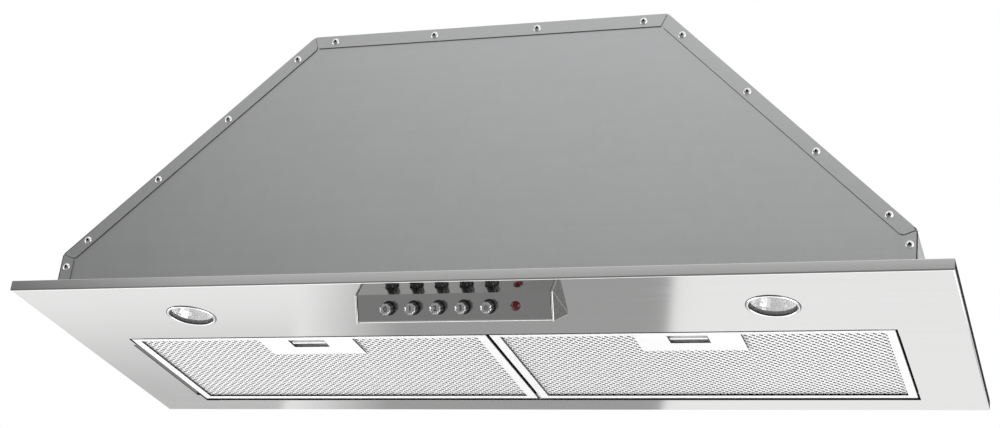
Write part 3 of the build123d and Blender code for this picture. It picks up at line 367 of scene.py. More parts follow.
@dataclass(frozen=True)
class MouldedPlastic(Finish):
    """Moulded plastic, rubber or paint with a fine texture."""

    name: str
    tint: Point
    roughness: float
    grain_pitch: float = 0.6 * MM
    grain_depth: float = 0.02 * MM

    def draw(self, graph: Graph) -> None:
        """Write the moulded texture and a slight cloud.

        Args:
            graph: The material's graph.
        """
        grain = graph.noise(graph.object_point(), 1 / self.grain_pitch, 2.0, 0.6)
        cloud = graph.noise(graph.object_point(), 60.0)
        graph.surface(
            Base_Color=graph.blend(cloud * 0.7 + grain * 0.3, scaled(self.tint, 0.85), scaled(self.tint, 1.12)),
            Roughness=cloud * 0.12 + (self.roughness - 0.06),
            Normal=graph.bump(grain, self.grain_depth, 0.35),
        )


@dataclass(frozen=True)
class ClearGlass(Finish):
    """Clear glass, solid or so thin that it bends nothing."""

    name: str
    tint: Point
    roughness: float = 0.02
    bends: bool = True
    alpha: float = 1.0

    def draw(self, graph: Graph) -> None:
        """Write the glass with faint waves.

        Args:
            graph: The material's graph.
        """
        waves = graph.noise(graph.object_point(), 90.0, 1.0)
        graph.surface(
            Base_Color=(*self.tint, 1.0),
            Roughness=waves * 0.02 + self.roughness,
            Transmission_Weight=1.0 if self.bends else 0.0,
            IOR=1.22 if self.bends else 1.5,
            Alpha=self.alpha,
        )


@dataclass(frozen=True)
class GlowingLens(Finish):
    """Red lens with a little of its lamp showing."""

    name: str
    tint: Point
    glow: float

    def draw(self, graph: Graph) -> None:
        """Write the lens with a prismatic grain.

        Args:
            graph: The material's graph.
        """
        facets = graph.cells(graph.object_point(), 900.0)
        graph.surface(
            Base_Color=graph.blend(facets, self.tint, scaled(self.tint, 0.55)),
            Roughness=facets * 0.1 + 0.08,
            Coat_Weight=0.6,
            Emission_Color=(*self.tint, 1.0),
            Emission_Strength=self.glow,
            Normal=graph.bump(facets, 0.15 * MM, 0.5),
        )


@dataclass(frozen=True)
class LayeredMesh(Finish):
    """Inner layers of expanded aluminium behind the outer sheet, darkened as painted shade of their depth."""

    name: str
    tint: Point
    pitch: float = 2.3 * MM

    def draw(self, graph: Graph) -> None:
        """Write crossed strands as painted shade in the colour, and as bump.

        Args:
            graph: The material's graph.
        """
        turned_point = graph.object_point((1 / self.pitch, 1.9 / self.pitch, 1 / self.pitch), (0, 0, 0.6))
        cells = graph.cells(turned_point, 1.0)
        cloud = graph.noise(graph.object_point(), 140.0)
        shade = (cells * 1.1 + cloud * 0.25).at_most(1.0)
        graph.surface(
            Base_Color=graph.blend(shade, self.tint, scaled(self.tint, 0.45)),
            Metallic=0.5,
            Roughness=0.45,
            Normal=graph.bump(1 - cells, 0.6 * MM, 0.6),
        )


POLISHED_STEEL = BrushedSteel("polished_brushed_steel", (0.76, 0.76, 0.755), 0.085)
CONTROL_STEEL = BrushedSteel("control_box_steel", (0.70, 0.695, 0.69), 0.16, line_depth=0.006 * MM)
GALVANISED = GalvanisedSheet("galvanised_sheet", (0.585, 0.59, 0.595))
BRIGHT_STEEL = PlainMetal("turned_steel", (0.6, 0.6, 0.6), 0.28)
# Dark grey steel laid on faces inside gaps and seams as painted shade, not a finish of the sheet.
SHADE_GREY_STEEL = PlainMetal("unpolished_steel", (0.16, 0.16, 0.16), 0.5)
# Near-black steel laid on recessed faces and hollows as painted shade, not an oxide.
SHADE_BLACK_STEEL = PlainMetal("oxidised_steel", (0.03, 0.03, 0.03), 0.6)
RIVET_METAL = PlainMetal("rivet_aluminium_finish", (0.86, 0.86, 0.86), 0.25)
CHROME = PlainMetal("chrome_plate", (0.88, 0.88, 0.88), 0.09, contrast=0.03)
FRAME_METAL = PlainMetal("satin_aluminium", (0.9, 0.9, 0.9), 0.42, metallic=0.35, contrast=0.03)
STRAND_METAL = PlainMetal("expanded_aluminium", (0.93, 0.93, 0.93), 0.36, metallic=0.25, contrast=0.04)
# Inner mesh layers: their dark tone is partly the aluminium layers and partly painted shade of the filter's
# depth.
INNER_MESH_AND_SHADE = LayeredMesh("inner_expanded_aluminium", (0.42, 0.42, 0.42))
LAMP_MIRROR = PlainMetal("lamp_mirror_finish", (0.95, 0.95, 0.95), 0.12, metallic=0.45, contrast=0.02)
LAMP_GLASS = ClearGlass("lamp_glass_finish", (0.97, 0.98, 0.98))
COVER_GLASS = ClearGlass("thin_cover_glass", (0.85, 0.86, 0.86), bends=False, alpha=0.08)
RED_GLASS = GlowingLens("red_lens_finish", (0.1, 0.0018, 0.003), 0.01)
BLACK_PLASTIC = MouldedPlastic("black_moulded_plastic", (0.025, 0.025, 0.026), 0.4)
GREY_PLASTIC = MouldedPlastic("grey_moulded_plastic", (0.3, 0.31, 0.32), 0.5)
WHITE_PLASTIC = MouldedPlastic("white_moulded_plastic", (0.78, 0.78, 0.76), 0.42)
MOTOR_PAINT = MouldedPlastic("motor_paint_finish", (0.11, 0.11, 0.12), 0.42)
SKIRT_PLASTIC = MouldedPlastic("dark_skirt_plastic", (0.07, 0.07, 0.071), 0.24)
BLACK_RUBBER = MouldedPlastic("black_rubber_finish", (0.03, 0.03, 0.03), 0.7, 0.9 * MM, 0.05 * MM)
BLACK_INK = MouldedPlastic("black_print", (0.012, 0.012, 0.012), 0.5)

SLOT_FINISHES: dict[Slot, Finish] = {
    Slot.POLISHED: POLISHED_STEEL,
    Slot.GALVANISED: GALVANISED,
    Slot.BRIGHT: BRIGHT_STEEL,
    Slot.RIVET: RIVET_METAL,
    Slot.CHROME: CHROME,
    Slot.ALUMINIUM: FRAME_METAL,
    Slot.MIRROR: LAMP_MIRROR,
    Slot.GLASS: LAMP_GLASS,
    Slot.RED: RED_GLASS,
    Slot.BLACK: BLACK_PLASTIC,
    Slot.GREY: GREY_PLASTIC,
    Slot.WHITE: WHITE_PLASTIC,
    Slot.MOTOR: MOTOR_PAINT,
    Slot.RUBBER: BLACK_RUBBER,
}


class Form:
    """A bmesh in the making, in metres, with the operators that this object's pieces use."""

    def __init__(self) -> None:
        """Start empty."""
        self.bm = bmesh.new()

    @property
    def everything(self) -> list:
        """All vertices, edges and faces."""
        return self.bm.verts[:] + self.bm.edges[:] + self.bm.faces[:]

    def loop(self, points: Iterable[Point], closed: bool = True) -> Edges:
        """Join a few vertices into a line of edges.

        Args:
            points: Places in millimetres.
            closed: Whether the last point joins the first.

        Returns:
            The edges.
        """
        verts = [self.bm.verts.new(Vector(point) * MM) for point in points]
        ends = verts[1:] + verts[:1] if closed else verts[1:]
        return [self.bm.edges.new(pair) for pair in zip(verts, ends)]

    def ring(self, centre: Point, radius: float, segments: int) -> Edges:
        """A circle of edges in the XY plane.

        Args:
            centre: Its middle, in millimetres.
            radius: Its radius, in millimetres.
            segments: How many edges it has.

        Returns:
            The edges.
        """
        place = shift(*centre)
        made = bmesh.ops.create_circle(self.bm, segments=segments, radius=radius * MM, matrix=place)
        return list({edge for vert in made["verts"] for edge in vert.link_edges})

    def fill(self, edges: Edges) -> None:
        """Fill the area between an outer loop and the loops inside it."""
        bmesh.ops.triangle_fill(self.bm, use_beauty=True, edges=edges)

    def face(self, points: Iterable[Point]) -> bmesh.types.BMFace:
        """One flat face with its corners in order, in millimetres."""
        return self.bm.faces.new([self.bm.verts.new(Vector(point) * MM) for point in points])

    def _carry(self, made: list, step: Point) -> set[bmesh.types.BMVert]:
        """Move what an operator made.

        Args:
            made: The operator's new geometry.
            step: How far, in millimetres.

        Returns:
            The moved vertices.
        """
        verts = [item for item in made if isinstance(item, bmesh.types.BMVert)]
        bmesh.ops.translate(self.bm, vec=Vector(step) * MM, verts=verts)
        return set(verts)

    def pull_edges(self, edges: Edges, step: Point) -> Edges:
        """Extrude edges into walls.

        Args:
            edges: The edges.
            step: Where the new edges go, in millimetres.

        Returns:
            The new edges at the far side of the walls.
        """
        made = bmesh.ops.extrude_edge_only(self.bm, edges=edges)["geom"]
        far = self._carry(made, step)
        return [item for item in made if isinstance(item, bmesh.types.BMEdge) and far.issuperset(item.verts)]

    def pull_faces(self, step: Point) -> None:
        """Extrude all the faces into a closed body.

        Args:
            step: Where their copies go, in millimetres.
        """
        made = bmesh.ops.extrude_face_region(self.bm, geom=self.bm.faces[:], use_keep_orig=True)["geom"]
        self._carry(made, step)
        self.outward()

    def weld(self, reach: float = 0.002) -> None:
        """Merge vertices closer than reach millimetres."""
        bmesh.ops.remove_doubles(self.bm, verts=self.bm.verts[:], dist=reach * MM)

    def outward(self) -> None:
        """Turn every face outwards."""
        bmesh.ops.recalc_face_normals(self.bm, faces=self.bm.faces[:])

    def orient(self, most: Callable[[bmesh.types.BMFace], float], up: bool) -> None:
        """Turn an open sheet so that one of its faces looks up, or down.

        Args:
            most: The face with the most of this is the one.
            up: Which way it looks.
        """
        self.outward()
        chosen = max(self.bm.faces, key=most)
        chosen.normal_update()
        if (chosen.normal.z > 0) != up:
            bmesh.ops.reverse_faces(self.bm, faces=self.bm.faces[:])

    def thicken(self, thickness: float) -> None:
        """Give a sheet its thickness in millimetres, behind its faces."""
        bmesh.ops.solidify(self.bm, geom=self.bm.faces[:], thickness=thickness * MM)

    def bevel(self, geom: list, width: float, segments: int, affect: str = "EDGES", clamp: bool = False) -> None:
        """Bevel edges, or the corners of a flat outline.

        Args:
            geom: The edges or vertices.
            width: Bevel width in millimetres.
            segments: Steps of the rounding.
            affect: EDGES or VERTICES.
            clamp: Whether bevels stop where they would meet.
        """
        bmesh.ops.bevel(
            self.bm, geom=geom, offset=width * MM, affect=affect, segments=segments,
            profile=0.5, material=-1, clamp_overlap=clamp,
        )

    def soften(self, width: float, segments: int = 2, where: Callable | None = None, least: float = 0.5) -> None:
        """Bevel the sharp edges.

        Args:
            width: Bevel width in millimetres.
            segments: Steps of the rounding.
            where: An extra test on the edge.
            least: Smallest angle, in radians, that counts as sharp.
        """
        sharp = [
            edge
            for edge in self.bm.edges
            if len(edge.link_faces) == 2
            and edge.calc_face_angle(0.0) > least
            and edge.calc_length() > 2 * width * MM
            and (where is None or where(edge))
        ]
        self.bevel(sharp, width, segments, clamp=True)

    def move(self, matrix: Matrix) -> None:
        """Place everything made so far."""
        bmesh.ops.transform(self.bm, matrix=matrix, verts=self.bm.verts[:])

    def repeat(self, matrices: Sequence[Matrix]) -> None:
        """Put a copy of everything at each place and drop the original.

        Args:
            matrices: The places.
        """
        source = self.everything
        for matrix in matrices:
            made = bmesh.ops.duplicate(self.bm, geom=source)["geom"]
            verts = [item for item in made if isinstance(item, bmesh.types.BMVert)]
            bmesh.ops.transform(self.bm, matrix=matrix, verts=verts)
        bmesh.ops.delete(self.bm, geom=source, context="VERTS")

    def add(self, other: Form) -> None:
        """Join another form into this one.

        Args:
            other: The form, which is used up.
        """
        mesh = bpy.data.meshes.new("joined")
        other.bm.to_mesh(mesh)
        other.bm.free()
        self.bm.from_mesh(mesh)
        bpy.data.meshes.remove(mesh)

    def piece(
        self,
        name: str,
        body: str,
        slot: Slot,
        finish: Finish,
        replaces: Sequence[str] = (),
        smooth: float | None = SMOOTH,
    ) -> bpy.types.Object:
        """Make the finished object and hang it on its body.

        Args:
            name: The piece's name.
            body: The body that it rides on.
            slot: The record's slot.
            finish: Its finish.
            replaces: Nodes that it stands for.
            smooth: Angle in degrees above which an edge stays sharp, or None for flat faces.

        Returns:
            The object.
        """
        mesh = bpy.data.meshes.new(name)
        self.bm.to_mesh(mesh)
        self.bm.free()
        mesh.materials.append(finish.material())
        made = bpy.data.objects.new(name, mesh)
        bpy.context.scene.collection.objects.link(made)
        if smooth is not None:
            mesh.shade_smooth()
            mesh.set_sharp_from_angle(angle=math.radians(smooth))
            flats = made.modifiers.new("flat_faces", "WEIGHTED_NORMAL")
            flats.weight = 100
            flats.keep_sharp = True
        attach(made, body)
        if replaces:
            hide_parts(*replaces)
        LOG.info("%s: %d faces on %s", name, len(mesh.polygons), body)
        return made


def shift(x: float, y: float, z: float) -> Matrix:
    """A move in millimetres."""
    return Matrix.Translation(Vector((x, y, z)) * MM)


def height(face: bmesh.types.BMFace) -> float:
    """Height of a face's middle."""
    return face.calc_center_median().z


def lowness(face: bmesh.types.BMFace) -> float:
    """Height of a face's middle, counted downwards."""
    return -height(face)


def upright(points: Iterable[Point], depth: float) -> list[Point]:
    """Corners in (x, z) as places on an upright plane at this depth."""
    return [(x, depth, z) for x, z in points]


def level(points: Iterable[Point], z: float) -> list[Point]:
    """Corners in (x, y) as places at this height."""
    return [(x, y, z) for x, y in points]


def rectangle(x0: float, x1: float, y0: float, y1: float, z: float) -> list[Point]:
    """Corners of a level rectangle, in order."""
    return [(x0, y0, z), (x1, y0, z), (x1, y1, z), (x0, y1, z)]


def turned(profile: Sequence[Point], segments: int, closed: bool = True) -> Form:
    """A form spun about the Z axis.

    Args:
        profile: (radius, height) pairs in millimetres.
        segments: Steps of the turn.
        closed: Whether the profile's ends join.

    Returns:
        The form.
    """
    form = Form()
    edges = form.loop(upright(profile, 0), closed)
    verts = {vert for edge in edges for vert in edge.verts}
    bmesh.ops.spin(
        form.bm, geom=list(verts) + edges, cent=(0, 0, 0), axis=(0, 0, 1), angle=FULL_TURN,
        steps=segments, use_merge=True,
    )
    form.weld()
    form.outward()
    return form


def slab(
    outline: Sequence[Point],
    step: Point,
    edge: float,
    corner: float = 0.0,
    rounded: Sequence[int] = (0, 1, 2, 3),
    segments: int = 2,
) -> Form:
    """A flat plate with softened edges.

    Args:
        outline: Corners of one face, in millimetres.
        step: Thickness as a vector, in millimetres.
        edge: Width of the softened edges.
        corner: Radius of the outline's corners.
        rounded: Which corners are rounded.
        segments: Steps of the softened edges.

    Returns:
        The plate.
    """
    form = Form()
    verts = list(form.face(outline).verts)
    if corner:
        form.bevel([verts[index] for index in rounded], corner, 4, "VERTICES")
    form.pull_faces(step)
    form.soften(edge, segments)
    return form


def paint(made: bpy.types.Object, finish: Finish, test: Callable[[bpy.types.MeshPolygon], bool]) -> None:
    """Give some faces of a piece a further finish.

    Args:
        made: The piece.
        finish: The finish.
        test: Whether a face gets it.
    """
    made.data.materials.append(finish.material())
    for face in made.data.polygons:
        if test(face):
            face.material_index = len(made.data.materials) - 1


@dataclass
class Plate:
    """Bottom plate: pressed tray with an upturned rim, a folded filter opening and lamp holes."""

    width: float = 750.0
    depth: float = 285.0
    sheet: float = 1.0
    rim: float = 9.0
    rim_return: float = 6.0
    fold: float = 1.2
    top_fold: float = 0.5
    opening_fold: float = 0.4
    opening: tuple[float, float, float, float] = (-323.0, 323.0, -35.5, 117.5)
    flange: float = 10.0
    relief: float = 14.0
    joggle: float = 3.2
    joggle_rise: float = 3.4
    crease: float = 0.7
    lamp_x: float = 239.0
    lamp_y: float = -84.0
    lamp_r: float = 19.25
    cutout: tuple[float, float, float, float] = (-70.0, 70.0, -115.0, -86.0)

    def build(self) -> None:
        """Make the plate as one folded sheet."""
        form = Form()
        bottom = -self.rim
        half_w, half_d = self.width / 2, self.depth / 2
        outer = form.loop(rectangle(-half_w, half_w, -half_d, half_d, bottom))
        hole = form.loop(self._opening_outline(bottom))
        cuts = form.loop(rectangle(*self.cutout, bottom))
        for side in Side:
            cuts += form.ring((side.value * self.lamp_x, self.lamp_y, bottom), self.lamp_r, 64)
        form.fill(outer + hole + cuts)
        self._turn_in(form, form.pull_edges(outer, (0, 0, self.rim)))
        self._fold_opening(form, hole)
        form.orient(lambda face: face.calc_area(), up=False)
        form.soften(self.top_fold, 3, lambda edge: min(vert.co.z for vert in edge.verts) > -self.top_fold * MM)
        form.soften(self.fold, 4, lambda edge: self._is_low(edge) and not self._is_beside(edge))
        form.soften(self.opening_fold, 3, lambda edge: self._is_low(edge) and self._is_beside(edge))
        form.thicken(self.sheet)
        made = form.piece("bottom_plate_sheet", "hood", Slot.POLISHED, POLISHED_STEEL, ["bottom_plate"])
        # The opening's upturned flange faces are painted dark as painted shade in the gap round the filters.
        paint(made, SHADE_GREY_STEEL, self._is_inner)

    def _fold_opening(self, form: Form, hole: Edges) -> None:
        """Fold the opening's flanges up, with a joggle in the left one.

        Args:
            form: The sheet.
            hole: The opening's edges.
        """
        flanges = [edge for edge in hole if edge.calc_length() > 2 * self.relief * MM]
        left = min(flanges, key=lambda edge: edge.verts[0].co.x + edge.verts[1].co.x)
        flanges.remove(left)
        form.pull_edges(flanges, (0, 0, self.flange))
        crease = form.pull_edges([left], (0, 0, self.crease))
        slope = form.pull_edges(crease, (self.joggle, 0, self.joggle_rise))
        form.pull_edges(slope, (0, 0, self.flange - self.crease - self.joggle_rise))

    def _is_inner(self, face: bpy.types.MeshPolygon) -> bool:
        """Whether a face belongs to the opening's folded flange, above its fold, which gets painted shade."""
        return self._near_opening(face.center) and abs(face.normal.z) < 0.5 and face.center.z > -self.rim * MM

    def _near_opening(self, place: Vector) -> bool:
        """Whether a place is inside the opening or within a joggle's reach of it.

        Args:
            place: The place, in metres.

        Returns:
            True where it is.
        """
        x0, x1, y0, y1 = (value * MM for value in self.opening)
        near = (self.joggle + self.sheet) * MM
        return x0 - near < place.x < x1 + near and y0 - near < place.y < y1 + near

    def _is_low(self, edge: bmesh.types.BMEdge) -> bool:
        """Whether an edge lies in the plate's underside."""
        return all(vert.co.z < (0.1 - self.rim) * MM for vert in edge.verts)

    def _is_beside(self, edge: bmesh.types.BMEdge) -> bool:
        """Whether an edge belongs to the opening."""
        return all(self._near_opening(vert.co) for vert in edge.verts)

    def _opening_outline(self, z: float) -> list[Point]:
        """The opening's outline with a point on each side of every corner.

        Args:
            z: Height of the outline.

        Returns:
            The points in order.
        """
        x0, x1, y0, y1 = self.opening
        r, out = self.relief, x0 - self.joggle
        flat = [
            (x0, y0), (x0 + r, y0), (x1 - r, y0), (x1, y0), (x1, y0 + r), (x1, y1 - r), (x1, y1),
            (x1 - r, y1), (x0 + r, y1), (x0, y1), (x0, y1 - r), (out, y1 - r), (out, y0 + r), (x0, y0 + r),
        ]
        return level(flat, z)

    def _turn_in(self, form: Form, top: Edges) -> None:
        """Fold the rim's top edge inwards.

        Args:
            form: The sheet.
            top: The rim's top edges.
        """
        made = bmesh.ops.extrude_edge_only(form.bm, edges=top)["geom"]
        verts = [item for item in made if isinstance(item, bmesh.types.BMVert)]
        share_x = 1 - 2 * self.rim_return / self.width
        share_y = 1 - 2 * self.rim_return / self.depth
        bmesh.ops.scale(form.bm, vec=(share_x, share_y, 1), verts=verts)


@dataclass
class Casing:
    """Folded casing: wrap, front and rear panels, flanges and blind rivets."""

    base_w: float = 694.0
    top_w: float = 302.0
    depth: float = 243.0
    foot_z: float = -8.0
    bend_z: float = 32.0
    top_z: float = 225.0
    sheet: float = 0.8
    flange: float = 11.0
    bend: float = 3.0
    mitre_gap: float = 0.45
    flange_round: float = 3.0
    mitre_round: float = 0.4
    flange_edge: float = 0.2
    panel_edge: float = 0.15
    flange_reach: float = 0.45
    collar_y: float = 20.9
    collar_hole: float = 67.0
    rivet_drop: float = 9.0
    rivet_gaps: int = 3
    slope_margin: float = 21.0
    top_margin: float = 17.0
    foot_corner: float = 24.0
    front_foot: float = 12.8
    rear_foot: float = 2.2
    notch: float = 70.0

    def corners(self, inset: float) -> list[tuple[float, float]]:
        """Corners of the front outline, drawn in by inset.

        Args:
            inset: How far inside the outer face, in millimetres.

        Returns:
            (x, z) pairs from the left foot round to the right.
        """
        slope = math.atan2(self.top_z - self.bend_z, (self.base_w - self.top_w) / 2)
        wall = self.base_w / 2 - inset
        bend = self.bend_z - inset * math.cos(slope) / (1 + math.sin(slope))
        shoulder = self.top_w / 2 - inset * math.sin(slope) / (1 + math.cos(slope))
        left = [(-wall, self.foot_z), (-wall, bend), (-shoulder, self.top_z - inset)]
        return left + [(-x, z) for x, z in reversed(left)]

    def build(self) -> None:
        """Make the casing's sheets and rivets."""
        self._wrap()
        front = -self.depth / 2
        for word, depth, inward in (("front", front, 1), ("rear", -front, -1)):
            self._panel(word, depth + inward * self.sheet, inward)
            self._rivets(word, depth, inward)

    def _wrap(self) -> None:
        """Fold the wrap over the sides and top, with its flanges over both panels."""
        form = Form()
        edges = form.loop(upright(self.corners(0), -self.depth / 2), closed=False)
        form.pull_edges(edges, (0, self.depth, 0))
        top = max(form.bm.faces, key=height)
        border = list(top.edges)
        bmesh.ops.delete(form.bm, geom=[top], context="FACES_ONLY")
        form.fill(border + form.ring((0, self.collar_y, self.top_z), self.collar_hole, 72))
        form.orient(height, up=True)
        form.soften(self.bend, 4)
        form.thicken(self.sheet)
        for depth, inward in ((-self.depth / 2, 1), (self.depth / 2, -1)):
            for index, outline in enumerate(self._flange_outlines()):
                radius = self.flange_round if index in (1, 3) else self.mitre_round
                step = (0, inward * self.sheet, 0)
                form.add(slab(upright(outline, depth), step, self.flange_edge, radius, (2, 3)))
        made = form.piece("wrap_panel_sheet", "hood", Slot.GALVANISED, GALVANISED, ["wrap_panel"])
        # The flanges' inner edges are painted dark as the painted shade line along each seam.
        paint(made, SHADE_GREY_STEEL, self._is_cut_edge)

    def _is_cut_edge(self, face: bpy.types.MeshPolygon) -> bool:
        """Whether a face belongs to a flange's inner edge, which is painted dark as painted shade of the seam.

        Args:
            face: A face of the wrap.

        Returns:
            True for the narrow faces that look towards the panel's middle.
        """
        at_flange = abs(abs(face.center.y) - (self.depth - self.sheet) / 2 * MM) < self.flange_reach * MM
        inwards = Vector((-face.center.x, 0, self.bend_z * MM - face.center.z))
        return at_flange and abs(face.normal.y) < 0.9 and face.normal.dot(inwards) > 0

    def _flange_outlines(self) -> list[list[tuple[float, float]]]:
        """Outlines of the five flanges of one face, with mitred ends.

        Returns:
            Four corners each, the outer pair first.
        """
        outer, inner = self.corners(0.0), self.corners(self.flange)
        outlines = []
        last = len(outer) - 2
        for index in range(last + 1):
            ends = (outer[index], outer[index + 1], inner[index + 1], inner[index])
            a, b, c, d = (Vector(end) for end in ends)
            along = (b - a).normalized() * self.mitre_gap
            start = along if index > 0 else along * 0
            end = along if index < last else along * 0
            outlines.append([tuple(p) for p in (a + start, b - end, c - end, d + start)])
        return outlines

    def _panel(self, word: str, depth: float, inward: int) -> None:
        """One flat panel with its feet: notched at the control box, cut back behind the filter opening.

        Args:
            word: front or rear.
            depth: Place of its outer face along Y.
            inward: 1 where inwards is towards the back.
        """
        form = slab(upright(self.corners(self.sheet), depth), (0, inward * self.sheet, 0), self.panel_edge)
        half = self.base_w / 2 - self.foot_corner
        spans, reach = [(-half, half)], self.rear_foot
        if word == "front":
            spans, reach = [(-half, -self.notch), (self.notch, half)], self.front_foot
        near, far = sorted((depth, depth + inward * reach))
        for low, high in spans:
            foot = rectangle(low, high, near, far, self.foot_z)
            form.add(slab(foot, (0, 0, self.sheet), self.panel_edge))
        form.piece(f"{word}_panel_sheet", "hood", Slot.GALVANISED, GALVANISED, [f"{word}_panel"])

    def _rivet_points(self) -> list[tuple[float, float]]:
        """Rivet centres along the middle of the folded edge.

        Returns:
            (x, z) pairs.
        """
        _, bend, shoulder, _, _, _ = self.corners(self.flange / 2)
        run = (shoulder[0] - bend[0], shoulder[1] - bend[1])
        length = math.hypot(*run)
        pitch = (length - 2 * self.slope_margin) / self.rivet_gaps
        left = [(bend[0], bend[1] - self.rivet_drop)]
        top = []
        first = shoulder[0] + self.top_margin
        for index in range(self.rivet_gaps + 1):
            share = (self.slope_margin + index * pitch) / length
            left.append((bend[0] + share * run[0], bend[1] + share * run[1]))
            top.append((first - 2 * first * index / self.rivet_gaps, shoulder[1]))
        return left + top + [(-x, z) for x, z in left]

    def _rivets(self, word: str, depth: float, inward: int) -> None:
        """Blind rivets of one face: domed head, hollow stem and crimped tail.

        Args:
            word: front or rear.
            depth: Place of the flange's outer face along Y.
            inward: 1 where inwards is towards the back.
        """
        profile = [
            (1.2, -1.0), (1.2, 1.15), (1.35, 1.3), (1.7, 1.28), (2.3, 1.05), (2.85, 0.65), (3.12, 0.28),
            (3.2, 0.0), (1.6, 0.0), (1.6, -1.6), (2.0, -1.75), (2.3, -2.4), (2.2, -3.5), (1.6, -4.0), (1.2, -4.0),
        ]
        head = turned(profile, 22)
        # Each hollow stem holds a mandrel core, painted near-black as painted shade of the hollow.
        core = turned([(0, 0.95), (0.9, 0.95), (1.18, 0.8), (1.18, -3.8), (0, -3.8)], 14, closed=False)
        face = Matrix.Rotation(math.radians(90 * inward), 4, "X")
        places = [shift(x, depth, z) @ face for x, z in self._rivet_points()]
        for form in (head, core):
            form.repeat(places)
        head.piece(f"{word}_rivet_set", "hood", Slot.RIVET, RIVET_METAL, [f"{word}_rivets"])
        core.piece(f"{word}_rivet_cores", "hood", Slot.BRIGHT, SHADE_BLACK_STEEL)


@dataclass
class Controls:
    """Control box with five fluted push buttons and a red indicator."""

    width: float = 160.0
    front_y: float = -119.5
    face_depth: float = 11.0
    face_drop: float = 19.3
    total_depth: float = 44.0
    plate_z: float = -9.0
    sheet: float = 0.8
    ridge_round: float = 2.0
    seam: float = 0.55
    end_proud: float = 0.7
    end_t: float = 1.5
    ridge_band: float = 4.0
    pitch: float = 20.4
    first_x: float = -52.1
    button_rise: float = 0.6
    hole_r: float = 5.45
    lens_x: float = 50.3
    lens_hole_r: float = 3.0
    cap_r: float = 4.7
    cap_back: float = 3.35
    cap_h: float = 5.3
    skirt: float = 2.0
    crown_h: float = 1.3
    crown_rim: float = 0.45
    crown_round: float = 0.3
    dish_rim: float = 0.5
    dish: float = 0.35
    flutes: int = 8
    flute_steps: int = 6
    flute_depth: float = 0.13
    names: tuple[str, ...] = ("off_button", "speed_1_button", "speed_2_button", "speed_3_button", "light_button")
    marks: tuple[str, ...] = ("0", "1", "2", "3", "")

    def face_frame(self, x: float = 0.0) -> Matrix:
        """Frame of the sloping face at the buttons: own Z points out of it towards the cook.

        Args:
            x: Place along the face, in millimetres.

        Returns:
            The frame, in metres.
        """
        out = Vector((0, -self.face_drop, -self.face_depth)).normalized()
        right = Vector((1, 0, 0))
        share = 0.5 - self.button_rise / math.hypot(self.face_depth, self.face_drop)
        origin = (x, self.front_y + self.face_depth * share, self.plate_z - self.face_drop * share)
        frame = Matrix((right, out.cross(right), out)).transposed().to_4x4()
        frame.translation = Vector(origin) * MM
        return frame

    def button_places(self) -> list[float]:
        """Places of the buttons along the face."""
        return [self.first_x + index * self.pitch for index in range(len(self.names))]

    def build(self) -> None:
        """Make the box, bushes, buttons and lens."""
        self._box()
        self._bushes()
        for name, mark, x in zip(self.names, self.marks, self.button_places()):
            self._button(name, mark, x)
        self._lens()

    def _box(self) -> None:
        """Folded face and back with separate end caps behind a thin seam."""
        form = Form()
        half = self.width / 2 - self.end_t - self.seam
        rise = math.hypot(self.face_depth, self.face_drop) / 2
        low, high = self.ridge_band - rise - self.button_rise, rise - self.button_rise
        outline = form.loop(rectangle(-half, half, low, high, 0))
        holes = []
        for x in self.button_places():
            holes += form.ring((x, 0, 0), self.hole_r, 40)
        holes += form.ring((self.lens_x, 0, 0), self.lens_hole_r, 32)
        form.fill(outline + holes)
        ridge = form.pull_edges([outline[0]], (0, -self.ridge_band, 0))
        form.move(self.face_frame())
        form.pull_edges(ridge, (0, self.total_depth - self.face_depth, self.face_drop))
        form.orient(lowness, up=False)
        form.soften(self.ridge_round, 6)
        form.thicken(self.sheet)
        proud, y, z = self.end_proud, self.front_y, self.plate_z
        for side in Side:
            x = side.value * self.width / 2
            corners = [
                (x, y - proud, z),
                (x, y + self.face_depth - proud / 2, z - self.face_drop - proud),
                (x, y + self.total_depth + proud, z),
            ]
            form.add(slab(corners, (-side.value * self.end_t, 0, 0), self.end_proud, segments=5))
        form.piece("control_box_folded", "hood", Slot.POLISHED, CONTROL_STEEL, ["control_box"])

    def _bushes(self) -> None:
        """Black guide bushes with a rounded rim."""
        neck = self.hole_r
        profile = [
            (5.0, -2.0), (neck, -2.0), (neck, 0.0), (5.7, 0.0), (5.65, 0.3), (5.45, 0.6), (5.2, 0.6), (5.0, 0.45),
        ]
        form = turned(profile, 40)
        form.repeat([self.face_frame(x) for x in self.button_places()])
        form.piece("button_bush_set", "hood", Slot.BLACK, BLACK_PLASTIC, ["button_bushes"])

    def _button(self, name: str, mark: str, x: float) -> None:
        """One button: fluted cap with a dished front and a dark skirt, plunger and printed mark.

        Args:
            name: The node and body.
            mark: The printed digit, or nothing for the lamp sign.
            x: Place along the face.
        """
        form = self._cap()
        split = (self.cap_h - self.crown_h) * MM
        bmesh.ops.bisect_plane(form.bm, geom=form.everything, plane_co=(0, 0, split), plane_no=(0, 0, 1))
        for face in form.bm.faces:
            face.material_index = int(height(face) < split)
        plunger = [(0, 0.2), (2.0, 0.2), (2.0, -18.8), (1.5, -19.35), (0, -19.35)]
        form.add(turned(plunger, 20, closed=False))
        frame = self.face_frame(x) @ shift(0, 0, self.cap_back)
        form.move(frame)
        made = form.piece(f"{name}_cap", name, Slot.CHROME, CHROME, [name])
        made.data.materials.append(SKIRT_PLASTIC.material())
        ink = self._digit(mark) if mark else self._lamp_sign()
        ink.move(frame @ shift(0, 0, self.cap_h - self.dish + 0.01))
        ink.piece(f"{name}_mark", name, Slot.BLACK, BLACK_INK)

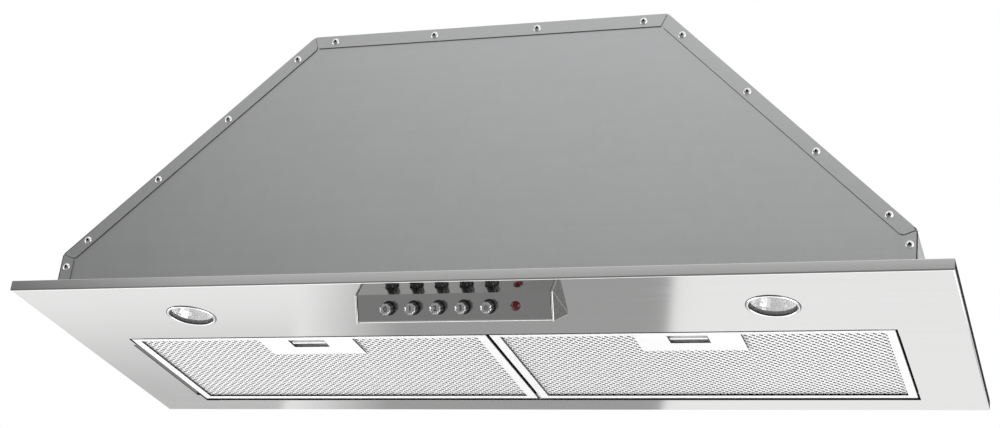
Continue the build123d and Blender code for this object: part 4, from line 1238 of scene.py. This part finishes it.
    def _cap(self) -> Form:
        """The fluted cap, standing on its skirt.

        Returns:
            The cap, with its back at 0.
        """
        form = Form()
        segments = self.flutes * self.flute_steps
        made = bmesh.ops.create_circle(form.bm, cap_ends=True, segments=segments, radius=self.cap_r * MM)
        for index, vert in enumerate(made["verts"]):
            wave = 0.5 + 0.5 * math.cos(FULL_TURN * index / self.flute_steps)
            vert.co *= 1 - self.flute_depth * wave**3
            vert.co.z = -self.skirt * MM
        form.pull_faces((0, 0, self.cap_h + self.skirt))
        crown = max(form.bm.faces, key=height)
        bmesh.ops.inset_region(form.bm, faces=[crown], thickness=self.crown_rim * MM, depth=0.0)
        top = (self.cap_h - 0.01) * MM
        rim = [edge for edge in form.bm.edges if all(vert.co.z > top for vert in edge.verts)]
        outer = [edge for edge in rim if any(abs(face.normal.z) < 0.5 for face in edge.link_faces)]
        form.bevel(outer, self.crown_round, 2)
        crown = max(form.bm.faces, key=lambda face: (round(height(face), 6), face.calc_area()))
        bmesh.ops.inset_region(form.bm, faces=[crown], thickness=self.dish_rim * MM, depth=-self.dish * MM)
        return form

    @staticmethod
    def _digit(mark: str) -> Form:
        """A printed digit, about 4.1 mm high, centred on the origin.

        Args:
            mark: The digit.

        Returns:
            The flat print.
        """
        curve = bpy.data.curves.new("digit", "FONT")
        curve.body = mark
        curve.size = 5.6 * MM
        curve.align_x, curve.align_y = "CENTER", "CENTER"
        curve.extrude = 0.05 * MM
        curve.offset = 0.12 * MM
        text = bpy.data.objects.new("digit", curve)
        bpy.context.scene.collection.objects.link(text)
        bpy.context.view_layer.update()
        mesh = bpy.data.meshes.new_from_object(text.evaluated_get(bpy.context.evaluated_depsgraph_get()))
        form = Form()
        form.bm.from_mesh(mesh)
        form.weld(0.0005)
        bpy.data.objects.remove(text)
        bpy.data.curves.remove(curve)
        bpy.data.meshes.remove(mesh)
        return form

    @staticmethod
    def _lamp_sign() -> Form:
        """A small lamp sign: a ring with short rays.

        Returns:
            The flat print.
        """
        ink, rays = 0.1, 8
        form = turned([(0.75, 0), (1.25, 0), (1.25, ink), (0.75, ink)], 28)
        for index in range(rays):
            ray = slab(rectangle(1.6, 2.25, -0.17, 0.17, 0.0), (0, 0, ink), 0.02)
            ray.move(Matrix.Rotation(FULL_TURN * index / rays, 4, "Z"))
            form.add(ray)
        return form

    def _lens(self) -> None:
        """Red domed lens with its barrel."""
        profile = [
            (0, 2.2), (1.1, 2.1), (2.1, 1.75), (2.9, 1.25), (3.35, 0.8), (3.75, 0.7), (3.75, 0.0),
            (2.95, 0.0), (2.95, -11.5), (2.5, -12.0), (0, -12.0),
        ]
        form = turned(profile, 36, closed=False)
        form.move(self.face_frame(self.lens_x))
        form.piece("indicator_lens_dome", "hood", Slot.RED, RED_GLASS, ["indicator_lens"])


@dataclass
class Lamp:
    """Halogen reflector lamp in a flat bezel; its own heights count up from the plate's underside."""

    side: Side
    x: float = 239.0
    y: float = -84.0
    plate_z: float = -9.0
    facets: int = 36
    coils: int = 7
    coil_steps: int = 12
    coil_rise: float = 0.06

    def build(self) -> None:
        """Make the bezel, glass, reflector, bulb, gasket, painted shade ring and filament."""
        ring = self._set(self._bezel(), "bezel_ring", Slot.CHROME, CHROME, "bezel")
        middle = sum((vert.co for vert in ring.data.vertices), Vector()) / len(ring.data.vertices)
        # The bezel's bore walls are painted black rubber as painted shade of the recess round the glass.
        paint(
            ring, BLACK_RUBBER,
            lambda face: abs(face.normal.z) < 0.5 and face.normal.dot(middle - face.center) > 0,
        )
        glass = [(0, 0.6), (17.9, 0.6), (18.2, 0.85), (18.2, 1.55), (17.9, 1.8), (0, 1.8)]
        self._set(turned(glass, 64, closed=False), "glass_disc", Slot.GLASS, COVER_GLASS, "glass")
        self._set(self._reflector(), "reflector_bowl", Slot.MIRROR, LAMP_MIRROR, "reflector", None)
        self._set(self._bulb(), "capsule", Slot.GLASS, LAMP_GLASS, "bulb")
        gaskets = turned([(17.0, 1.8), (18.1, 1.8), (18.1, 3.2), (17.2, 3.2)], 64)
        # A black ring just outside the bezel stands for its shadow line: painted shade, not a gasket.
        gaskets.add(turned([(20.1, 0.0), (20.6, 0.0), (20.6, -0.3), (20.1, -0.3)], 64))
        self._set(gaskets, "gaskets", Slot.RUBBER, BLACK_RUBBER)
        self._set(self._filament(), "filament", Slot.BRIGHT, BRIGHT_STEEL)

    def _set(
        self, form: Form, word: str, slot: Slot, finish: Finish, node: str = "", smooth: float | None = SMOOTH
    ) -> bpy.types.Object:
        """Put a form in the lamp's place and make it a piece.

        Args:
            form: The form, round the lamp's own axis.
            word: The end of the piece's name.
            slot: The record's slot.
            finish: Its finish.
            node: The end of the name of the node that it stands for, if any.
            smooth: As for Form.piece.

        Returns:
            The object.
        """
        form.move(shift(self.side.value * self.x, self.y, self.plate_z))
        lamp = f"{self.side.word}_lamp"
        return form.piece(f"{lamp}_{word}", "hood", slot, finish, [f"{lamp}_{node}"] if node else [], smooth)

    @staticmethod
    def _bezel() -> Form:
        """Flat ring with rounded edges, a bore and a lip under the glass.

        Returns:
            The bezel.
        """
        profile = [
            (18.0, 0.6), (18.0, -0.2), (18.1, -0.5), (18.5, -0.75), (19.1, -0.85), (19.7, -0.75), (20.05, -0.55),
            (20.2, -0.25), (20.2, 0.0), (19.2, 0.0), (19.2, 7.0), (18.5, 7.0), (18.5, 0.6),
        ]
        return turned(profile, 72)

    def _reflector(self) -> Form:
        """Faceted bowl with a plain neck.

        Returns:
            The reflector.
        """
        profile = [
            (17.95, 3.0), (17.33, 5.14), (16.12, 8.37), (14.59, 11.46), (12.76, 14.38), (10.63, 17.09),
            (8.23, 19.57), (5.6, 21.8), (5.6, 25.8), (4.7, 25.8), (4.7, 21.8), (7.25, 19.5), (9.58, 16.98),
            (11.67, 14.25), (13.5, 11.35), (15.06, 8.29), (16.33, 5.09), (16.95, 3.0),
        ]
        return turned(profile, self.facets)

    @staticmethod
    def _bulb() -> Form:
        """Capsule with a pinched end, its base and two pins.

        Returns:
            The bulb.
        """
        profile = [
            (0, 9.8), (1.2, 10.0), (2.2, 10.7), (2.85, 11.9), (3.0, 13.5), (3.0, 19.5), (2.7, 20.8), (4.7, 21.8),
            (4.7, 25.8), (0, 25.8),
        ]
        form = turned(profile, 28, closed=False)
        for x in (-2.0, 2.0):
            pin = turned([(0, 25.7), (0.5, 25.7), (0.5, 31.5), (0.3, 31.8), (0, 31.8)], 12, closed=False)
            pin.move(shift(x, 0, 0))
            form.add(pin)
        return form

    def _filament(self) -> Form:
        """Coiled filament on two lead wires inside the capsule.

        Returns:
            The filament.
        """
        form = Form()
        start = form.loop([(0.62, 0, 0), (0.74, 0, 0.12), (0.86, 0, 0), (0.74, 0, -0.12)])
        verts = {vert for edge in start for vert in edge.verts}
        bmesh.ops.spin(
            form.bm, geom=list(verts) + start, cent=(0, 0, 0), axis=(0, 0, 1), dvec=(0, 0, self.coil_rise * MM),
            angle=FULL_TURN * self.coils, steps=self.coil_steps * self.coils,
        )
        bmesh.ops.holes_fill(form.bm, edges=form.bm.edges[:], sides=len(start))
        form.move(shift(0, 0, 12.2))
        for x, low in ((-0.74, 12.0), (0.74, 17.0)):
            wire = turned([(0, low), (0.1, low), (0.1, 21.0), (0, 21.0)], 8, closed=False)
            wire.move(shift(x, 0, 0))
            form.add(wire)
        form.outward()
        return form


@dataclass
class GreaseFilter:
    """Hinged grease filter: channel frame, expanded sheets, latch plate and slider."""

    side: Side
    inner: float = 1.25
    outer: float = 321.5
    front: float = -34.0
    back: float = 113.0
    bottom: float = -9.0
    height: float = 9.0
    sheet: float = 1.0
    channel_sheet: float = 0.6
    channel_fold: float = 0.9
    window_in: float = 9.5
    window_out: float = 314.25
    window_front: float = -29.5
    window_back: float = 106.5
    pitch_x: float = 6.15
    pitch_y: float = 6.7
    strand_w: float = 0.8
    strand_t: float = 0.25
    hole_half: Point = (1.75, 0.0)
    hole_tip: Point = (1.5, 1.62)
    tilt: float = 0.35
    sheet_reach: float = 1.4
    lap: float = 1.5
    pad_rise: float = 1.2
    pad_t: float = 1.6
    latch_w: float = 85.0
    latch_d: float = 33.0
    slot_w: float = 32.0
    slot_front: float = -27.5
    slot_back: float = -12.5
    cup_w: float = 48.0
    cup_back: float = -2.0
    cup_sheet: float = 0.95
    bolt_tip: float = -35.2
    bolt_half: float = 10.0
    bolt_rise: float = 4.0
    bolt_t: float = 1.5
    bar_half: float = 15.0
    bar_front: float = -21.5
    bar_back: float = -18.5
    bar_rise: float = 0.6
    bar_h: float = 3.4
    slider_gap: float = 1.3

    @property
    def body(self) -> str:
        """The filter's body."""
        return f"{self.side.word}_filter"

    @property
    def middle(self) -> float:
        """The middle of the filter along X."""
        return self.side.value * (self.inner + self.outer) / 2

    def span(self, inner: float, outer: float) -> list[float]:
        """Two distances from the hood's middle as left and right ends along X."""
        return sorted((self.side.value * inner, self.side.value * outer))

    def window(self) -> list[float]:
        """The window's ends along X and along Y."""
        return [*self.span(self.window_in, self.window_out), self.window_front, self.window_back]

    def build(self) -> None:
        """Make the frame, sheets and latch."""
        self._frame()
        self._sheets()
        self._pad()
        self._latch_plate()
        self._slider()

    def _frame(self) -> None:
        """Channel frame as one folded sheet, open to the inside, with painted shade on its side faces."""
        form = Form()
        outer = form.loop(rectangle(*self.span(self.inner, self.outer), self.front, self.back, self.bottom))
        window = form.loop(rectangle(*self.window(), self.bottom))
        bmesh.ops.bridge_loops(form.bm, edges=outer + window)
        top = form.pull_edges(outer, (0, 0, self.height))
        form.fill(top + form.loop(rectangle(*self.window(), self.bottom + self.height)))
        form.orient(lowness, up=False)
        form.soften(self.channel_fold, 3, lambda edge: edge.calc_length() > 5 * MM)
        form.thicken(self.channel_sheet)
        name = f"{self.side.word}_filter_frame"
        made = form.piece(f"{name}_channel", self.body, Slot.ALUMINIUM, FRAME_METAL, [name])
        middle = Vector((self.middle, (self.front + self.back) / 2, self.bottom + self.height / 2)) * MM

        def looks_inside(face: bpy.types.MeshPolygon) -> bool:
            """Whether a face looks towards the filter's middle."""
            return face.normal.dot(middle - face.center) > 0

        # Faces looking into the channel are painted near-black, and the outer side faces dark grey, as painted
        # shade in the recesses and gaps.
        paint(made, SHADE_BLACK_STEEL, looks_inside)
        paint(made, SHADE_GREY_STEEL, lambda face: abs(face.normal.z) < 0.8 and not looks_inside(face))

    def _cell(self, lean: int) -> Form:
        """One diamond of expanded metal with its sheared hole.

        Args:
            lean: Which way the strands lean.

        Returns:
            The diamond, centred on the origin.
        """
        form = Form()
        made = bmesh.ops.create_circle(form.bm, cap_ends=True, segments=4, radius=0.5 * MM)
        bmesh.ops.scale(form.bm, vec=(self.pitch_x, self.pitch_y, 1), verts=made["verts"])
        bmesh.ops.inset_individual(
            form.bm, faces=form.bm.faces[:], thickness=self.strand_w * MM, use_even_offset=True
        )
        hole = min(form.bm.faces, key=lambda face: max(vert.co.length for vert in face.verts))
        for vert in hole.verts:
            tip = abs(vert.co.y) > 0.1 * MM
            way = math.copysign(1.0, vert.co.y if tip else vert.co.x)
            x, y = self.hole_tip if tip else self.hole_half
            vert.co = Vector((x * way, y * way, -lean * way * self.tilt if tip else 0.0)) * MM
        bmesh.ops.delete(form.bm, geom=[hole], context="FACES_ONLY")
        return form

    def _strands(self, z: float, lean: int) -> Form:
        """A sheet of expanded metal over the window.

        Args:
            z: Height of the sheet's middle.
            lean: Which way the strands lean.

        Returns:
            The sheet.
        """
        x0, x1, y0, y1 = self.window()
        form = self._cell(lean)
        form.repeat([Matrix.Identity(4), shift(self.pitch_x / 2, self.pitch_y / 2, 0)])
        columns = math.ceil((x1 - x0) / self.pitch_x) + 2
        rows = math.ceil((y1 - y0) / self.pitch_y) + 2
        form.repeat([shift(index * self.pitch_x, 0, 0) for index in range(columns)])
        form.repeat([shift(0, index * self.pitch_y, 0) for index in range(rows)])
        form.weld()
        form.move(shift(x0 - self.pitch_x, y0 - self.pitch_y, z))
        reach = self.sheet_reach
        for normal, place in (
            ((-1, 0, 0), (x0 - reach, 0, 0)),
            ((1, 0, 0), (x1 + reach, 0, 0)),
            ((0, -1, 0), (0, y0 - reach, 0)),
            ((0, 1, 0), (0, y1 + reach, 0)),
        ):
            bmesh.ops.bisect_plane(
                form.bm, geom=form.everything, plane_co=Vector(place) * MM, plane_no=normal, clear_outer=True
            )
        return form

    def _sheets(self) -> None:
        """Lower and upper sheets of expanded metal, cut out round the latch plate and its cup."""
        name = f"{self.side.word}_filter_mesh"
        low = self.bottom + self.sheet + 0.8
        high = self.bottom + self.height - self.sheet - 0.6
        cover, lap = self.window_front + self.latch_d, self.lap
        for word, z, lean, half, edge, nodes in (
            ("expanded", low, 1, self.latch_w / 2 - lap, cover - lap, [name]),
            ("upper", high, -1, self.cup_w / 2 + lap, self.cup_back + lap, []),
        ):
            form = self._strands(z, lean)
            covered = [
                face
                for face in form.bm.faces
                if abs(face.calc_center_median().x - self.middle * MM) < half * MM
                and face.calc_center_median().y < edge * MM
            ]
            bmesh.ops.delete(form.bm, geom=covered, context="FACES")
            form.outward()
            made = form.piece(f"{name}_{word}", self.body, Slot.ALUMINIUM, STRAND_METAL, nodes, smooth=None)
            wall = made.modifiers.new("strand_thickness", "SOLIDIFY")
            wall.thickness = self.strand_t * MM
            wall.offset = 0.0

    def _cup_span(self) -> tuple[float, float]:
        """The cup's ends along X."""
        return self.middle - self.cup_w / 2, self.middle + self.cup_w / 2

    def _pad(self) -> None:
        """Inner layers: a closed sheet with the pattern of stacked strands, darkened as painted shade of their
        depth.
        """
        x0, x1, front, back = self.window()
        c0, c1 = self._cup_span()
        lap, notch = self.lap, self.cup_back + self.lap
        flat = [
            (x0 - lap, front - lap), (c0, front - lap), (c0, notch), (c1, notch), (c1, front - lap),
            (x1 + lap, front - lap), (x1 + lap, back + lap), (x0 - lap, back + lap),
        ]
        form = slab(level(flat, self.bottom + self.sheet + self.pad_rise), (0, 0, self.pad_t), 0.3)
        name = f"{self.side.word}_filter_pad"
        form.piece(f"{name}_layers", self.body, Slot.ALUMINIUM, INNER_MESH_AND_SHADE, [name])

    def _latch_plate(self) -> None:
        """Flat plate with the finger slot, and the cup behind it."""
        form = Form()
        x, z = self.middle, self.bottom
        front, back = self.window_front, self.window_front + self.latch_d
        outer = form.loop(rectangle(x - self.latch_w / 2, x + self.latch_w / 2, front, back, z))
        half = self.slot_w / 2
        slot = form.loop(rectangle(x - half, x + half, self.slot_front, self.slot_back, z))
        form.fill(outer + slot)
        form.pull_faces((0, 0, self.sheet))
        form.soften(0.2)
        form.add(self._cup())
        name = f"{self.side.word}_latch_plate"
        made = form.piece(f"{name}_pressed", self.body, Slot.ALUMINIUM, FRAME_METAL, [name])
        top = (z + self.sheet) * MM
        # The plate's cut edges are painted near-black as painted shade in the gap below them.
        paint(made, SHADE_BLACK_STEEL, lambda face: face.center.z < top and abs(face.normal.z) < 0.5)

    def _cup(self) -> Form:
        """The pressed cup behind the finger slot, open to the front.

        Returns:
            The cup.
        """
        cup = Form()
        low, high = self.bottom + self.sheet, self.bottom + self.height - self.sheet - 0.5
        front = self.window_front
        roof = cup.face(rectangle(*self._cup_span(), front, self.cup_back, high))
        behind = (front + 1) * MM
        sides = [edge for edge in roof.edges if max(vert.co.y for vert in edge.verts) > behind]
        cup.pull_edges(sides, (0, 0, low - high))
        cup.weld()
        cup.orient(height, up=True)
        cup.soften(0.8, 3)
        cup.thicken(self.cup_sheet)
        return cup

    def _slider(self) -> None:
        """Sliding bolt with its tongue and finger bar."""
        x, tip, tongue = self.middle, self.bolt_tip, self.bolt_half
        half = self.cup_w / 2 - self.slider_gap
        front, back = self.window_front + 1.0, self.window_front + 19.0
        flat = [
            (x - half, front), (x - tongue, front), (x - tongue, tip), (x + tongue, tip), (x + tongue, front),
            (x + half, front), (x + half, back), (x - half, back),
        ]
        form = slab(level(flat, self.bottom + self.bolt_rise), (0, 0, self.bolt_t), 0.2)
        low = self.bottom + self.bar_rise
        bar = rectangle(x - self.bar_half, x + self.bar_half, self.bar_front, self.bar_back, low)
        form.add(slab(bar, (0, 0, self.bar_h), 0.3, 0.5))
        name = f"{self.side.word}_latch_slider"
        form.piece(f"{name}_bolt", f"{self.side.word}_latch", Slot.ALUMINIUM, FRAME_METAL, [name])


@dataclass
class Collar:
    """Duct collar: base plate and a rolled tube with an eased rim."""

    y: float = 20.9
    z: float = 225.0
    radius: float = 74.0
    wall: float = 1.0
    height: float = 30.0
    base_w: float = 183.6
    base_d: float = 170.0
    base_t: float = 0.8
    base_corner: float = 8.0
    segments: int = 96

    def build(self) -> None:
        """Make the collar."""
        outer, inner, top = self.radius, self.radius - self.wall, self.height
        profile = [
            (inner, 0.0), (outer, 0.0), (outer, top - 0.4), (outer - 0.3, top),
            (inner + 0.3, top), (inner, top - 0.4),
        ]
        form = turned(profile, self.segments)
        base = Form()
        half_w, half_d = self.base_w / 2, self.base_d / 2
        outline = base.face(rectangle(-half_w, half_w, -half_d, half_d, 0.0))
        base.bevel(list(outline.verts), self.base_corner, 5, "VERTICES")
        edges = base.bm.edges[:]
        bmesh.ops.delete(base.bm, geom=base.bm.faces[:], context="FACES_ONLY")
        base.fill(edges + base.ring((0, 0, 0), self.radius - 0.2, self.segments))
        base.pull_faces((0, 0, self.base_t))
        base.soften(0.15)
        form.add(base)
        form.move(shift(0, self.y, self.z))
        form.piece("duct_collar_tube", "hood", Slot.GALVANISED, GALVANISED, ["duct_collar"])


@dataclass
class Studio:
    """Camera at the photograph's viewpoint, pale floor, white surround, soft lights and reflector boards."""

    lens: float = 67.83
    sensor: float = 36.0
    place: Point = (498.42, -1350.96, -541.5)
    right: Point = (0.94580, 0.30537, 0.11051)
    down: Point = (-0.03215, 0.42665, -0.90384)
    ahead: Point = (-0.32316, 0.85130, 0.41334)
    floor_z: float = -6.0
    floor_white: float = 0.7
    card_z: float = -1.45
    ambient: float = 1.0

    def build(self) -> None:
        """Make the whole stage."""
        self._camera()
        self._world()
        self._floor()
        self._area("top_softbox", (-0.3, -1.5, 1.9), (0, -0.1, 0.1), (2.6, 1.4), 34.0)
        self._area("low_softbox", (-1.4, -1.0, -1.1), (0.0, 0.0, -0.01), (1.4, 0.8), 17.0)
        self._boards()

    def _camera(self) -> None:
        """Camera from the fitted view."""
        data = bpy.data.cameras.new("photo_camera")
        data.lens, data.sensor_width = self.lens, self.sensor
        data.clip_start, data.clip_end = 0.05, 50.0
        camera = bpy.data.objects.new("photo_camera", data)
        axes = (Vector(self.right), -Vector(self.down), -Vector(self.ahead))
        frame = Matrix(axes).transposed().to_4x4()
        frame.translation = Vector(self.place) * MM
        camera.matrix_world = frame
        bpy.context.scene.collection.objects.link(camera)
        bpy.context.scene.camera = camera

    @staticmethod
    def _seen(graph: Graph) -> Expr:
        """1 for rays from the camera, from gloss and through glass.

        Args:
            graph: The graph that it is read in.

        Returns:
            The value, 0 for all other rays.
        """
        names = ("Is Camera Ray", "Is Glossy Ray", "Is Transmission Ray")
        camera, gloss, glass = (graph.node("ShaderNodeLightPath", out=name) for name in names)
        return (camera + gloss + glass).at_most(1.0)

    def _world(self) -> None:
        """White where it is seen, and as bright as its ambient value as light."""
        scene = bpy.context.scene
        world = bpy.data.worlds.new("white_surround")
        world.use_nodes = True
        scene.world = world
        scene.view_settings.view_transform = "Standard"
        graph = Graph(world.node_tree)
        light = graph.node("ShaderNodeBackground", {}, {"Color": WHITE, "Strength": self.ambient})
        white = graph.node("ShaderNodeBackground", {}, {"Color": WHITE, "Strength": 1.0})
        mixed = graph.node("ShaderNodeMixShader", {}, {0: self._seen(graph), 1: light, 2: white})
        graph.output(mixed, "ShaderNodeOutputWorld")

    def _floor(self) -> None:
        """Pale floor far below, which keeps the object's soft shadow."""
        bm = bmesh.new()
        bmesh.ops.create_grid(bm, x_segments=1, y_segments=1, size=14.0)
        floor = self._sheet("studio_floor", bm, self.floor_z)
        material, graph = new_material("pale_floor")
        grain = graph.noise(graph.object_point(), 3.0)
        colour = graph.blend(grain, (0.86,) * 3, (0.9,) * 3)
        coat = graph.node("ShaderNodeBsdfDiffuse", {}, {"Color": colour})
        white = graph.node("ShaderNodeEmission", {}, {"Color": WHITE, "Strength": 1.0})
        share = self._seen(graph) * self.floor_white
        graph.output(graph.node("ShaderNodeMixShader", {}, {0: share, 1: coat, 2: white}))
        floor.data.materials.append(material)

    @staticmethod
    def _sheet(name: str, bm: bmesh.types.BMesh, z: float = 0.0) -> bpy.types.Object:
        """A stage object from a bmesh.

        Args:
            name: Its name.
            bm: Its shape, which is freed.
            z: How high it is set, in metres.

        Returns:
            The object.
        """
        mesh = bpy.data.meshes.new(name)
        bm.to_mesh(mesh)
        bm.free()
        made = bpy.data.objects.new(name, mesh)
        made.matrix_world = Matrix.Translation((0, 0, z))
        bpy.context.scene.collection.objects.link(made)
        return made

    @staticmethod
    def _area(name: str, place: Point, target: Point, size: Point, power: float) -> None:
        """One area light that polished surfaces don't show.

        Args:
            name: Its name.
            place: Where it hangs, in metres.
            target: What it points at.
            size: Width and height.
            power: Watts.
        """
        data = bpy.data.lights.new(name, "AREA")
        data.shape = "RECTANGLE"
        data.size, data.size_y = size
        data.energy = power
        light = bpy.data.objects.new(name, data)
        light.location = place
        light.rotation_euler = (Vector(target) - Vector(place)).to_track_quat("-Z", "Y").to_euler()
        light.visible_camera = False
        light.visible_glossy = False
        bpy.context.scene.collection.objects.link(light)

    def _boards(self) -> None:
        """Plain grey and white boards, with soft edges, that only the metal and glass see."""
        self._board(
            "front_grey_board", -3.6, (-7.0, 5.0), (-1.5, 5.0),
            [(-3.2, 0.1), (-2.2, 0.5), (5.0, 0.5)],
            [(-1.5, 0.2), (1.0, 0.5), (3.0, 2.3), (5.0, 2.1)],
        )
        for name, x0, x1, y0, y1, value in (
            ("front_low_card", -3.0, 1.6, -3.5, -0.9, 0.25),
            ("under_left_card", -3.0, -0.5, -0.9, 0.6, 0.5),
            ("under_right_card", -0.5, 1.6, -0.9, 0.6, 0.3),
            ("ridge_card", -4.0, 1.3, 0.9, 1.8, 2.4),
        ):
            self._card(name, rectangle(x0, x1, y0, y1, self.card_z), value)
        for name, x, y0, y1 in (("left_side_card", -3.3, -1.5, 2.0), ("right_side_card", 2.4, -2.4, 1.0)):
            self._card(name, [(x, y0, -1.3), (x, y1, -1.3), (x, y1, 0.6), (x, y0, 0.6)], 2.4)
        rim_card = upright([(0.4, 0.4), (0.95, 0.4), (0.95, 1.6), (0.4, 1.6)], 2.2)
        self._card("right_rim_card", rim_card, 0.04)
        self._board(
            "back_left_board", 2.2, (-3.6, -1.3), (-1.5, -0.4),
            [(-3.6, 1.0), (-1.3, 1.0)],
            [(-1.0, 1.0), (-0.8, 0.6)],
        )
        self._board(
            "back_right_board", 2.2, (-1.3, 1.6), (-1.5, -0.4),
            [(-1.3, 1.0), (-1.05, 0.4), (-0.45, 0.4), (-0.44, 1.0), (0.32, 1.0), (0.45, 0.25)],
            [(-1.5, 1.0), (-0.4, 1.0)],
        )

    def _reflector(self, name: str, corners: Sequence[Point]) -> Graph:
        """A flat sheet that is left to glossy and transmitted rays alone.

        Args:
            name: Its name.
            corners: Its corners, in metres.

        Returns:
            The graph of its material.
        """
        bm = bmesh.new()
        bmesh.ops.contextual_create(bm, geom=[bm.verts.new(corner) for corner in corners])
        sheet = self._sheet(name, bm)
        for kind in ("camera", "diffuse", "shadow", "volume_scatter"):
            setattr(sheet, f"visible_{kind}", False)
        material, graph = new_material(name)
        sheet.data.materials.append(material)
        return graph

    def _card(self, name: str, corners: Sequence[Point], value: float) -> None:
        """One flat card of even brightness."""
        graph = self._reflector(name, corners)
        graph.output(graph.node("ShaderNodeEmission", {}, {"Color": WHITE, "Strength": value}))

    def _board(
        self, name: str, y: float, wide: Point, high: Point, across: Pairs, upward: Pairs
    ) -> None:
        """One upright reflector board whose brightness is a product of two soft gradients.

        Args:
            name: Its name.
            y: Its place along Y, in metres.
            wide: Its ends along X.
            high: Its ends along Z.
            across: (x, brightness) pairs.
            upward: (z, factor) pairs.
        """
        (x0, x1), (z0, z1) = wide, high
        graph = self._reflector(name, upright([(x0, z0), (x1, z0), (x1, z1), (x0, z1)], y))
        place = graph.node("ShaderNodeTexCoord", out="Object")
        ramps = []
        for axis, (low, top), stops in ((0, wide, across), (2, high, upward)):
            run = graph.node("ShaderNodeSeparateXYZ", {}, {0: place}, out=axis)
            share = (run - low) * (1 / (top - low))
            peak = max(value for _, value in stops)
            marks = [((at - low) / (top - low), value / peak) for at, value in stops]
            shade = graph.node("ShaderNodeValToRGB", {"stops": marks}, {"Fac": share})
            ramps.append(shade * peak)
        strength = ramps[0] * ramps[1]
        graph.output(graph.node("ShaderNodeEmission", {}, {"Color": WHITE, "Strength": strength}))


def dress_nodes(frame: dict) -> None:
    """Give every node that still shows the finish of its slot.
    """
    slots = {part["node"]: part["material_slot"] for part in frame["record"]["subparts"]}
    for name, node in frame["nodes"].items():
        finish = SLOT_FINISHES[Slot(slots[name])]
        node.data.materials.clear()
        node.data.materials.append(finish.material())


def main() -> None:
    """Build the hood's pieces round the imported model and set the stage."""
    logging.basicConfig(level=logging.INFO, format="%(name)s %(message)s")
    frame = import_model()
    Studio().build()
    dress_nodes(frame)
    Plate().build()
    Casing().build()
    Controls().build()
    for side in Side:
        Lamp(side).build()
        GreaseFilter(side).build()
    Collar().build()


if __name__ == "__main__":
    main()
